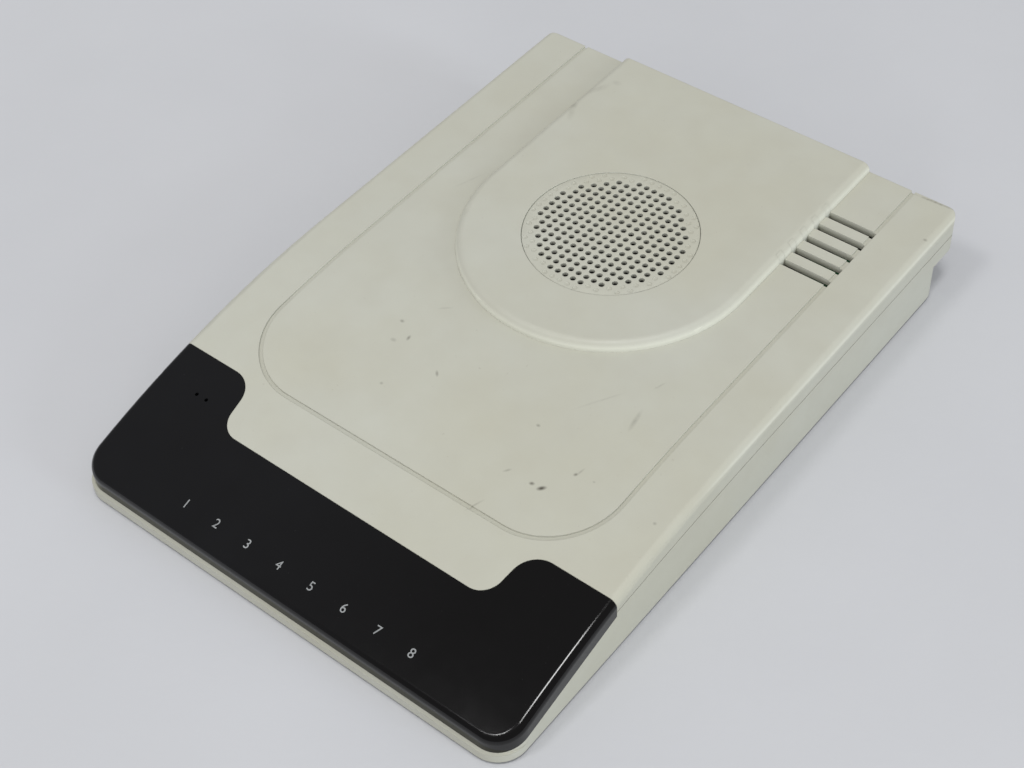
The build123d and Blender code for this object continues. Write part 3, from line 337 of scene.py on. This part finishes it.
def shell_material(settings, edge_radius, marks=(), painted_upright_shading=1.30):
    """Satin moulded plastic, slightly yellowed and rubbed, with painted light and shade on the
    upright faces near the top. The last factor says how much lighter these faces are painted,
    or, below one, how much darker: painted light on the pod's side, painted shade on the holes'
    walls."""
    tree = Tree("shell_plastic")
    ageing = tree.spread(tree.noise(55 * MM, detail=4.0), 0.38, 0.66)
    colour = tree.mix(ageing, rgba(settings.colour), rgba(settings.aged))
    cloud = tree.spread(tree.noise(9 * MM, detail=6.0), 0.30, 0.75, 0.0, 0.10)
    colour = tree.mix(cloud, colour, rgba(settings.grime, 1.6))
    normal = tree.node("NewGeometry").outputs["True Normal"]
    facing = tree.node("SeparateXYZ", {"Vector": normal}).outputs["Z"]
    height = tree.node("SeparateXYZ", {"Vector": tree.place}).outputs["Z"]
    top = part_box("top_cover")[1].z
    near_top = tree.spread(height, top - 4.2 * MM, top - 3.6 * MM)
    # Painted light and shade: upright faces near the top take the plain colour times the
    # factor. Above one this is painted light (the pod's side); below one it is painted shade
    # (the holes' walls).
    upright = tree.times(tree.spread(facing, 0.75, 0.35), near_top)
    colour = tree.mix(upright, colour, rgba(settings.colour, painted_upright_shading))
    dust = tree.spread(tree.noise(1.4 * MM, detail=3.0), 0.70, 0.82, 0.0, 0.35)
    colour = tree.mix(dust, colour, rgba(settings.grime, 1.4))
    breakup = tree.noise(1.1 * MM, detail=4.0)
    rubbed = 0.0
    for mark in marks:
        rubbed = tree.largest(rub_mark(tree, breakup, mark), rubbed)
    colour = tree.mix(rubbed, colour, rgba(settings.grime, 0.45))
    roughness = tree.spread(tree.noise(16 * MM, detail=5.0), 0.3, 0.7,
                            settings.roughness - 0.07, settings.roughness + 0.07)
    grain = tree.bump(tree.noise(settings.grain_size, detail=3.0), settings.grain_depth,
                      below=tree.softened(edge_radius))
    ripple = tree.bump(tree.noise(22 * MM, detail=1.0), 0.1 * MM, below=grain)
    return tree.finish(colour, roughness, ripple, ior=1.46, specular_ior_level=0.42)


def lens_material(settings):
    """Deep gloss plastic whose top has a fine mottled texture."""
    tree = Tree("lens_gloss")
    low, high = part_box("front_lens")
    across = tree.node("SeparateXYZ", {"Vector": tree.place}).outputs["X"]
    uneven = tree.spread(tree.noise(18 * MM, detail=5.0), 0.30, 0.75, 0.75, 1.0)
    # The body colour grows unevenly brighter towards the left.
    brighter = tree.times(tree.spread(across, high.x * 0.6, low.x * 0.3), uneven)
    colour = tree.mix(brighter, rgba(settings.colour), rgba(settings.left_tone))
    lint = tree.spread(tree.noise(0.7 * MM, detail=2.0), 0.74, 0.84, 0.0, 0.25)
    colour = tree.mix(lint, colour, rgba(settings.lint))
    roughness = tree.spread(tree.noise(5 * MM, detail=6.0), 0.3, 0.7,
                            settings.roughness - 0.01, settings.roughness + 0.015)
    mottle = tree.bump(tree.noise(settings.mottle_size, detail=3.0), settings.mottle_depth)
    return tree.finish(colour, roughness, mottle, ior=1.49)


def plastic_material(name, colour, roughness, grain=0.5 * MM, depth=0.01 * MM):
    """Plain moulded plastic, rubber or paper with a fine grain."""
    tree = Tree(name)
    patch = tree.spread(tree.noise(6 * MM, detail=4.0), 0.3, 0.7)
    shade = tree.mix(patch, rgba(colour, 0.86), rgba(colour, 1.16))
    rough = tree.spread(tree.noise(2.5 * MM, detail=4.0), 0.3, 0.7, roughness - 0.06,
                        roughness + 0.08)
    return tree.finish(shade, rough, tree.bump(tree.noise(grain, detail=3.0), depth))


def metal_material(name, colour, roughness, stretch=(1.0, 1.0, 1.0)):
    """Plated metal with fine drawn lines along one direction."""
    tree = Tree(name)
    lines = tree.noise(1.2 * MM, detail=5.0, stretch=stretch)
    tarnish = tree.spread(tree.noise(4 * MM, detail=4.0), 0.35, 0.75, 0.0, 0.55)
    shade = tree.mix(tarnish, rgba(colour), rgba(colour, 0.72))
    rough = tree.spread(lines, 0.3, 0.7, roughness - 0.08, roughness + 0.10)
    return tree.finish(shade, rough, tree.bump(lines, 0.006 * MM), metallic=1.0)


def board_material(colour):
    """Solder mask over copper traces, with paler tracks showing through."""
    tree = Tree("board_mask")
    cells = tree.node("TexBrick", {
        "Vector": tree.place, "Scale": 260.0, "Mortar Size": 0.035, "Bias": 0.0,
        "Brick Width": 0.9, "Row Height": 0.25}).outputs["Fac"]
    patch = tree.spread(tree.noise(10 * MM, detail=2.0), 0.48, 0.52)
    tracks = tree.times(cells, patch)
    shade = tree.mix(tracks, rgba(colour), rgba(colour, 1.9))
    rough = tree.spread(tree.noise(2 * MM, detail=3.0), 0.3, 0.7, 0.26, 0.40)
    return tree.finish(shade, rough, tree.bump(tracks, 0.03 * MM), ior=1.5)


def clear_material(colour, pale):
    """Lightly tinted clear plastic of the lights and their guide."""
    tree = Tree("tinted_clear")
    patch = tree.spread(tree.noise(4 * MM), 0.3, 0.7)
    shade = tree.mix(patch, rgba(colour), rgba(pale))
    rough = tree.spread(tree.noise(MM, detail=3.0), 0.3, 0.7, 0.06, 0.16)
    return tree.finish(shade, rough, tree.bump(tree.noise(0.8 * MM), 0.004 * MM), ior=1.49)


# ---- geometry helpers ----------------------------------------------------------------
def shown(name, mesh, material, body, *, parts=()):
    """A finished piece in its material, riding on its body in place of the parts, if any."""
    piece = bpy.data.objects.new(name, mesh)
    bpy.context.scene.collection.objects.link(piece)
    mesh.materials.append(material)
    if parts:
        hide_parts(*parts)
    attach(piece, body)


def smooth_by_angle(mesh, degrees=32.0):
    """Shade smooth, but keep edges sharper than the angle crisp."""
    mesh.shade_smooth()
    mesh.set_sharp_from_angle(angle=math.radians(degrees))


def circle(x, y, radius, sides):
    """Points round a circle, counter-clockwise."""
    return [(x + radius * math.cos(2 * math.pi * i / sides),
             y + radius * math.sin(2 * math.pi * i / sides)) for i in range(sides)]


def ring(form, outline, z):
    """New vertices along an outline at one height."""
    return [form.verts.new((x, y, z)) for x, y in outline]


def bands(form, rings):
    """Quads between each ring and the next."""
    for first, second in zip(rings, rings[1:]):
        for i in range(len(first)):
            following = (i + 1) % len(first)
            form.faces.new((first[i], first[following], second[following], second[i]))


def drop(surface, x, y):
    """Height of the first surface straight below a point above the model."""
    hit, *_ = surface.ray_cast(Vector((x, y, CAD_BOUNDS[1][2] + MM)), DOWN)
    return hit.z if hit else CAD_BOUNDS[0][2]


def surface_of(node, context):
    """A packed part's surface, for casting rays at it."""
    return BVHTree.FromObject(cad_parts[node], context.evaluated_depsgraph_get())


def finished_mesh(form, name):
    """A mesh from the form, with its faces turned outwards."""
    bmesh.ops.recalc_face_normals(form, faces=form.faces)
    mesh = bpy.data.meshes.new(name)
    form.to_mesh(mesh)
    form.free()
    return mesh


# ---- pieces --------------------------------------------------------------------------
class MODEM_OT_shell(Operator):
    """Finish the two shells in satin moulded plastic"""
    bl_idname = "modem.shell"
    bl_label = "Finish Shells"

    def execute(self, context):
        settings = context.scene.modem_shell
        material = shell_material(settings, settings.edge_radius, RUB_MARKS)
        paint(material, "top_cover", "bottom_case")
        return {"FINISHED"}


class MODEM_OT_vents(Operator):
    """Close the inner ends of the vent slots flush with the pod's rounded side"""
    bl_idname = "modem.vents"
    bl_label = "Close Vent Ends"

    def execute(self, context):
        settings = context.scene.modem_shell
        cover = surface_of("top_cover", context)
        pod_side = settings.pod_half_width
        beside_pod = pod_side + 3 * MM
        spans = slot_spans(cover, beside_pod)
        if len(spans) < 2:
            raise RuntimeError("the top cover has no row of vent slots")
        between = (spans[0][1] + spans[1][0]) / 2
        inner = pod_side - settings.vent_bite
        steps = 10
        gap = 0.01 * MM                  # kept to the pod's side
        depth = 2.5 * MM                 # of the piece below the foot of the pod's side
        profile = []
        for i in range(steps + 1):
            x = inner + (pod_side - inner) * (i / steps) - gap
            profile.append((x, drop(cover, x, between)))
        floor = profile[-1][1] - depth
        outline = [(inner, floor), *profile, (profile[-1][0], floor)]
        form = bmesh.new()
        for span in spans:
            near, far = ([form.verts.new((x, y, z)) for x, z in outline] for y in span)
            bands(form, [near, far])
            form.faces.new(near)
            form.faces.new(far)
        mesh = finished_mesh(form, "vent_ends")
        smooth_by_angle(mesh)
        shown("vent_ends", mesh, shell_material(settings, settings.edge_radius), "case")
        return {"FINISHED"}


def slot_spans(cover, x):
    """Start and end of each vent slot along a line in the rear half of the cover."""
    low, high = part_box("top_cover")
    half = (high.y - low.y) / 2
    step = 0.02 * MM
    margin = 200                         # steps left out at the rear edge
    slot_level = high.z - 4 * MM         # only the slots are lower than this
    spans, start = [], None
    for i in range(int(half / step) - margin):
        y = low.y + half + step * i
        in_slot = drop(cover, x, y) < slot_level
        if in_slot and start is None:
            start = y
        if not in_slot and start is not None:
            spans.append((start, y))
            start = None
    return spans


class MODEM_OT_lens(Operator):
    """Finish the wrap-around lens in dark gloss plastic"""
    bl_idname = "modem.lens"
    bl_label = "Finish Lens"

    def execute(self, context):
        paint(lens_material(context.scene.modem_lens), "front_lens")
        return {"FINISHED"}


class MODEM_OT_numerals(Operator):
    """Print plain numerals on the lens, one for each light"""
    bl_idname = "modem.numerals"
    bl_label = "Print Numerals"

    def execute(self, context):
        settings = context.scene.modem_numerals
        surface = surface_of("front_lens", context)
        low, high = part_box("front_lens")
        ink = plastic_material("numeral_ink", settings.colour, 0.55, grain=0.3 * MM,
                               depth=0.002 * MM)
        for i in range(settings.count):
            x = (low.x + high.x) / 2 + (i - (settings.count - 1) / 2) * settings.pitch
            numeral(f"numeral_{i + 1}", str(i + 1), x, low.y + settings.setback, high.z + MM,
                    surface, settings, ink)
        return {"FINISHED"}


def numeral(name, word, x, y, above, surface, settings, ink):
    """One printed numeral laid on the surface below it."""
    curve = bpy.data.curves.new(name + "_outline", "FONT")
    curve.body = word
    curve.align_x, curve.align_y = "CENTER", "CENTER"
    curve.size = settings.height / DIGIT_HEIGHT
    curve.resolution_u = 6               # straight pieces to a curved stroke
    holder = bpy.data.objects.new(name + "_holder", curve)
    bpy.context.scene.collection.objects.link(holder)
    bpy.context.view_layer.update()
    flat = bpy.data.meshes.new_from_object(
        holder.evaluated_get(bpy.context.evaluated_depsgraph_get()))
    bpy.data.objects.remove(holder)
    bpy.data.curves.remove(curve)
    form = bmesh.new()
    form.from_mesh(flat)
    bpy.data.meshes.remove(flat)
    bmesh.ops.triangulate(form, faces=form.faces)
    middle, normal, *_ = surface.ray_cast(Vector((x, y, above)), DOWN)
    if middle is None:
        raise RuntimeError(f"{name} misses the lens")
    along = Vector((1.0, 0.0, 0.0))
    up = normal.cross(along).normalized()
    clearance = settings.thickness * 0.2
    for vert in form.verts:
        point = middle + along * vert.co.x + up * vert.co.y
        under, *_ = surface.ray_cast(point + normal * MM, -normal)
        vert.co = (under or point) + normal * clearance
    top = bmesh.ops.extrude_face_region(form, geom=form.faces[:])["geom"]
    for vert in [part for part in top if isinstance(part, bmesh.types.BMVert)]:
        vert.co += normal * settings.thickness
    shown(name, finished_mesh(form, name), ink, "case")


class MODEM_OT_grille(Operator):
    """Build the round perforated grille with its rim of dimples"""
    bl_idname = "modem.grille"
    bl_label = "Build Grille"

    def execute(self, context):
        settings = context.scene.modem_grille
        low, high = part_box("speaker_grille")
        middle = (low + high) / 2
        form = bmesh.new()
        perforate(form, settings, (high.x - low.x) / 2, low.z, high.z)
        bmesh.ops.translate(form, verts=form.verts, vec=(middle.x, middle.y, 0.0))
        same_place = 0.001 * MM
        bmesh.ops.remove_doubles(form, verts=form.verts, dist=same_place)
        mesh = finished_mesh(form, "grille_disc")
        smooth_by_angle(mesh)
        # Painted shade: a factor below one paints the walls of the holes darker.
        plastic = shell_material(context.scene.modem_shell, settings.edge_radius, painted_upright_shading=0.80)
        shown("grille_disc", mesh, plastic, "case", parts=["speaker_grille"])
        return {"FINISHED"}


def cell_outline(x, y, half, sides):
    """Points round a square cell, each in line with one point of the hole inside it."""
    points = []
    for i in range(sides):
        turn = 2 * math.pi * i / sides
        reach = half / max(abs(math.cos(turn)), abs(math.sin(turn)))
        points.append((x + reach * math.cos(turn), y + reach * math.sin(turn)))
    return points


def grille_sheet(form, settings, z, outer, hole, through, dimples):
    """One face of the grille: quads round every hole, and triangles from there to the rim."""
    pitch, sides = settings.pitch, 8 * settings.eighth
    inside_dimple = settings.dimple_radius * 0.97
    tolerance = 1e-5                     # of the triangulation, in millimetres
    points, edges, places = [], [], {}

    def index(point):
        key = (round(point[0] / MM, 3), round(point[1] / MM, 3))
        if key not in places:
            places[key] = len(points)
            points.append(Vector(key))
        return places[key]

    def border(outline):
        marks = [index(point) for point in outline]
        edges.extend(zip(marks, marks[1:] + marks[:1]))

    for column, row in through:
        x, y = column * pitch, row * pitch
        square = cell_outline(x, y, pitch / 2, sides)
        bands(form, [ring(form, square, z), ring(form, circle(x, y, hole, sides), z)])
        for i in range(sides):
            turn = 2 * math.pi * (i + 0.5) / sides
            across, along = math.cos(turn), math.sin(turn)
            step = (round(across), 0) if abs(across) > abs(along) else (0, round(along))
            if (column + step[0], row + step[1]) not in through:
                edges.append((index(square[i]), index(square[(i + 1) % sides])))
    border(outer)
    for column, row in dimples:
        border(circle(column * pitch, row * pitch, settings.dimple_radius, sides))
    found, _, faces, *_ = delaunay_2d_cdt(points, edges, [], 0, tolerance)
    verts = [form.verts.new((point.x * MM, point.y * MM, z)) for point in found]
    for face in faces:
        middle = sum((found[i] for i in face), Vector((0.0, 0.0))) * MM / len(face)
        cell = (round(middle.x / pitch), round(middle.y / pitch))
        centre = Vector((cell[0] * pitch, cell[1] * pitch))
        in_dimple = cell in dimples and (middle - centre).length < inside_dimple
        if cell not in through and not in_dimple:
            form.faces.new([verts[i] for i in face])


def perforate(form, settings, radius, low, high):
    """Both faces, the rim, the holes' walls and the dimples of the grille."""
    pitch, sides, lip = settings.pitch, 8 * settings.eighth, settings.lip
    hole, bevel = settings.hole_radius, settings.bevel
    reach = math.ceil(settings.dimple_field / pitch)
    cells = [(column, row) for column in range(-reach, reach + 1)
             for row in range(-reach, reach + 1)]
    through = {cell for cell in cells if math.hypot(*cell) * pitch <= settings.field_radius}
    dimples = {cell for cell in cells if cell not in through
               and math.hypot(*cell) * pitch <= settings.dimple_field}

    def edge(inset):
        return circle(0.0, 0.0, radius - inset, RIM_SIDES)

    grille_sheet(form, settings, high, edge(bevel), hole + lip, through, dimples)
    under = high - settings.web
    grille_sheet(form, settings, under, edge(settings.rim), hole, through, set())
    bands(form, [ring(form, edge(inset), z) for inset, z in (
        (bevel, high), (bevel * MIDWAY, high - bevel * MIDWAY), (0.0, high - bevel),
        (0.0, low), (settings.rim, low), (settings.rim, under))])
    for column, row in sorted(through):
        x, y = column * pitch, row * pitch
        bands(form, [ring(form, circle(x, y, hole + outset, sides), z) for outset, z in (
            (lip, high), (lip * MIDWAY, high - lip * MIDWAY), (0.0, high - lip),
            (0.0, under))])
    for column, row in sorted(dimples):
        x, y = column * pitch, row * pitch
        bowl = [ring(form, circle(x, y, settings.dimple_radius * part, sides),
                     high - settings.dimple_depth * math.sqrt(1.0 - part * part))
                for part in DIMPLE_RINGS]
        bands(form, bowl)
        form.faces.new(bowl[-1])


class MODEM_OT_speaker(Operator):
    """Finish the loudspeaker and the microphone"""
    bl_idname = "modem.speaker"
    bl_label = "Finish Loudspeaker"

    def execute(self, context):
        settings = context.scene.modem_fittings
        paper = plastic_material("cone_paper", settings.cone, 0.86, grain=0.4 * MM,
                                 depth=0.03 * MM)
        foam = plastic_material("foam", settings.foam, 0.9, grain=0.6 * MM,
                                depth=0.08 * MM)
        basket = metal_material("basket_plate", settings.basket, 0.42)
        jacket = plastic_material("lead_jacket", settings.jacket, 0.5)
        paint(paper, "speaker_cone", "speaker_dust_cap")
        paint(foam, "speaker_gasket", "microphone_boot")
        paint(basket, "speaker_frame", "speaker_magnet")
        paint(metal_material("bare_metal", settings.bare, 0.34), "microphone_capsule",
              "crystal", "heat_sink")
        paint(jacket, "speaker_lead")
        return {"FINISHED"}


class MODEM_OT_board(Operator):
    """Finish the circuit board and what stands on it"""
    bl_idname = "modem.board"
    bl_label = "Finish Board"

    def execute(self, context):
        settings = context.scene.modem_fittings
        chips = plastic_material("chip_epoxy", settings.chips, 0.52, grain=0.2 * MM)
        paint(board_material(settings.board), "main_board")
        paint(chips, "signal_processor", "controller_chip", "memory_chips", "codec_chips",
              "voltage_regulator", "capacitors", "surge_arrestor")
        paint(plastic_material("pale_nylon", settings.nylon, 0.45), "relays",
              "opto_couplers", "lead_headers", "serial_insulator")
        paint(plastic_material("bobbin_tape", settings.tape, 0.38), "line_transformer")
        paint(clear_material(settings.clear, settings.clear_pale), "status_lights",
              "light_guide")
        return {"FINISHED"}


class MODEM_OT_connectors(Operator):
    """Finish the sockets, the contacts and the serial connector"""
    bl_idname = "modem.connectors"
    bl_label = "Finish Connectors"

    def execute(self, context):
        settings = context.scene.modem_fittings
        black = plastic_material("socket_plastic", settings.black, 0.42)
        paint(black, "line_jack", "phone_jack", "audio_in_jack", "audio_out_jack",
              "power_inlet", "power_switch", "power_rocker", "volume_base", "volume_wheel")
        paint(metal_material("gold_plate", settings.gold, 0.26, stretch=(3.0, 0.3, 3.0)),
              "line_contacts", "phone_contacts", "serial_contacts")
        paint(metal_material("nickel_plate", settings.steel, 0.27, stretch=(0.3, 3.0, 3.0)),
              "serial_shell", "jackscrew_1", "jackscrew_2", "power_pin")
        return {"FINISHED"}


class MODEM_OT_fixings(Operator):
    """Finish the rubber feet and the screws"""
    bl_idname = "modem.fixings"
    bl_label = "Finish Feet and Screws"

    def execute(self, context):
        settings = context.scene.modem_fittings
        rubber = plastic_material("foot_rubber", settings.rubber, 0.78, grain=0.7 * MM,
                                  depth=0.03 * MM)
        zinc = metal_material("zinc_plate", settings.steel, 0.36)
        for corner in range(1, 5):
            paint(rubber, f"rubber_foot_{corner}")
            paint(zinc, f"case_screw_{corner}", f"board_screw_{corner}")
        return {"FINISHED"}


# ---- stage ---------------------------------------------------------------------------
def floor_material(colour):
    """Plain matt floor with a barely visible unevenness."""
    tree = Tree("floor_matt")
    cloud = tree.spread(tree.noise(120 * MM, detail=5.0), 0.3, 0.7)
    shade = tree.mix(cloud, rgba(colour, 0.975), rgba(colour, 1.02))
    rough = tree.spread(tree.noise(30 * MM, detail=3.0), 0.3, 0.7, 0.72, 0.86)
    return tree.finish(shade, rough, tree.bump(tree.noise(4 * MM, detail=4.0), 0.06 * MM),
                       specular_ior_level=0.2)


def lamp(name, target, level, colour, *, azimuth, elevation, distance, size, gloss=True):
    """An area lamp of the given width and depth that looks at a point. Its level is its part
    of the light at which a surface renders as its colour is written."""
    data = bpy.data.lights.new(name, "AREA")
    data.shape = "RECTANGLE"
    data.size, data.size_y = size
    data.energy = level * (math.pi * distance) ** 2
    data.color = colour
    turn, rise = math.radians(azimuth), math.radians(elevation)
    away = Vector((math.cos(rise) * math.cos(turn), math.cos(rise) * math.sin(turn),
                   math.sin(rise)))
    overhead = elevation > 60.0          # the width then runs along x, and otherwise along z
    across = Vector((1.0, 0.0, 0.0)) if overhead else Vector((0.0, 0.0, 1.0))
    width = (across - away * across.dot(away)).normalized()
    holder = bpy.data.objects.new(name, data)
    holder.matrix_world = Matrix.Translation(target + away * distance) @ Matrix(
        (width, away.cross(width), away)).transposed().to_4x4()
    holder.visible_glossy = gloss
    bpy.context.scene.collection.objects.link(holder)


class MODEM_OT_stage(Operator):
    """Set up the floor, the lamps, the surroundings and the camera"""
    bl_idname = "modem.stage"
    bl_label = "Set Stage"

    def execute(self, context):
        settings = context.scene.modem_stage
        scene = context.scene
        low, high = (Vector(corner) for corner in CAD_BOUNDS)
        middle = (low + high) / 2
        half = 4.0                       # of the floor's width
        corners = ((-half, -half), (half, -half), (half, half), (-half, half))
        mesh = bpy.data.meshes.new("floor")
        mesh.from_pydata([(x, y, low.z) for x, y in corners], [], [(0, 1, 2, 3)])
        mesh.materials.append(floor_material(settings.floor))
        floor = bpy.data.objects.new("floor", mesh)
        scene.collection.objects.link(floor)

        world = bpy.data.worlds.new("surroundings")
        world.use_nodes = True
        nodes, links = world.node_tree.nodes, world.node_tree.links
        path = nodes.new("ShaderNodeLightPath")
        mirrored = nodes.new("ShaderNodeMix")
        mirrored.data_type = "RGBA"
        links.new(path.outputs["Is Glossy Ray"], mirrored.inputs[MIX_AMOUNT])
        mirrored.inputs[MIX_FIRST].default_value = rgba(settings.sky)
        mirrored.inputs[MIX_SECOND].default_value = rgba(settings.sky_gloss)
        links.new(mirrored.outputs[MIX_RESULT], nodes["Background"].inputs["Color"])
        scene.world = world

        white, cool, cooler = (1.0, 1.0, 1.0), (0.97, 0.98, 1.0), (0.85, 0.93, 1.0)
        front_corner = Vector((high.x, low.y, high.z))
        lamp("lamp_strip", middle, settings.strip, white, azimuth=-35.0, elevation=80.7,
             distance=2.2, size=(0.45, 0.50))
        lamp("lamp_side", middle, settings.side, cooler, azimuth=8.0, elevation=9.0,
             distance=5.0, size=(2.5, 1.04), gloss=False)
        lamp("lamp_front", middle, settings.front, cool, azimuth=-60.0, elevation=7.0,
             distance=5.0, size=(2.5, 0.83), gloss=False)
        lamp("lamp_spark", front_corner, settings.spark, white, azimuth=-126.0,
             elevation=64.0, distance=1.2, size=(0.22, 0.22))

        camera = bpy.data.cameras.new("camera")
        camera.lens = settings.lens
        camera.sensor_width = 36.0
        camera.clip_start = 0.01
        holder = bpy.data.objects.new("camera", camera)
        holder.location = (middle.x + settings.right, high.y - settings.ahead,
                           high.z + settings.above)
        holder.rotation_euler = Euler(settings.turn)
        scene.collection.objects.link(holder)
        scene.camera = holder
        scene.view_settings.view_transform = "Standard"
        return {"FINISHED"}


# ---- panel and registration ----------------------------------------------------------
OPERATORS = (
    MODEM_OT_shell,
    MODEM_OT_vents,
    MODEM_OT_lens,
    MODEM_OT_numerals,
    MODEM_OT_grille,
    MODEM_OT_speaker,
    MODEM_OT_board,
    MODEM_OT_connectors,
    MODEM_OT_fixings,
    MODEM_OT_stage,
)

GROUPS = {
    "modem_shell": ModemShellFinish,
    "modem_lens": ModemLensFinish,
    "modem_numerals": ModemNumerals,
    "modem_grille": ModemGrille,
    "modem_fittings": ModemFittings,
    "modem_stage": ModemStage,
}


class MODEM_PT_looks(Panel):
    """Lists the operators and their settings"""
    bl_idname = "MODEM_PT_looks"
    bl_label = "Desktop Modem"
    bl_space_type = "VIEW_3D"
    bl_region_type = "UI"
    bl_category = "Modem"

    def draw(self, context):
        for operator in OPERATORS:
            self.layout.operator(operator.bl_idname)
        for name, group in GROUPS.items():
            box = self.layout.box()
            box.label(text=group.__doc__)
            for key in group.__annotations__:
                box.prop(getattr(context.scene, name), key)


def register():
    for group in GROUPS.values():
        bpy.utils.register_class(group)
    for name, group in GROUPS.items():
        setattr(bpy.types.Scene, name, PointerProperty(type=group))
    for item in (*OPERATORS, MODEM_PT_looks):
        bpy.utils.register_class(item)


def unregister():
    for item in (MODEM_PT_looks, *reversed(OPERATORS)):
        bpy.utils.unregister_class(item)
    for name in GROUPS:
        delattr(bpy.types.Scene, name)
    for group in reversed(list(GROUPS.values())):
        bpy.utils.unregister_class(group)


def main():
    register()
    bpy.ops.modem.stage()
    bpy.ops.modem.shell()
    bpy.ops.modem.vents()
    bpy.ops.modem.lens()
    bpy.ops.modem.numerals()
    bpy.ops.modem.grille()
    bpy.ops.modem.speaker()
    bpy.ops.modem.board()
    bpy.ops.modem.connectors()
    bpy.ops.modem.fixings()


if __name__ == "__main__":
    main()
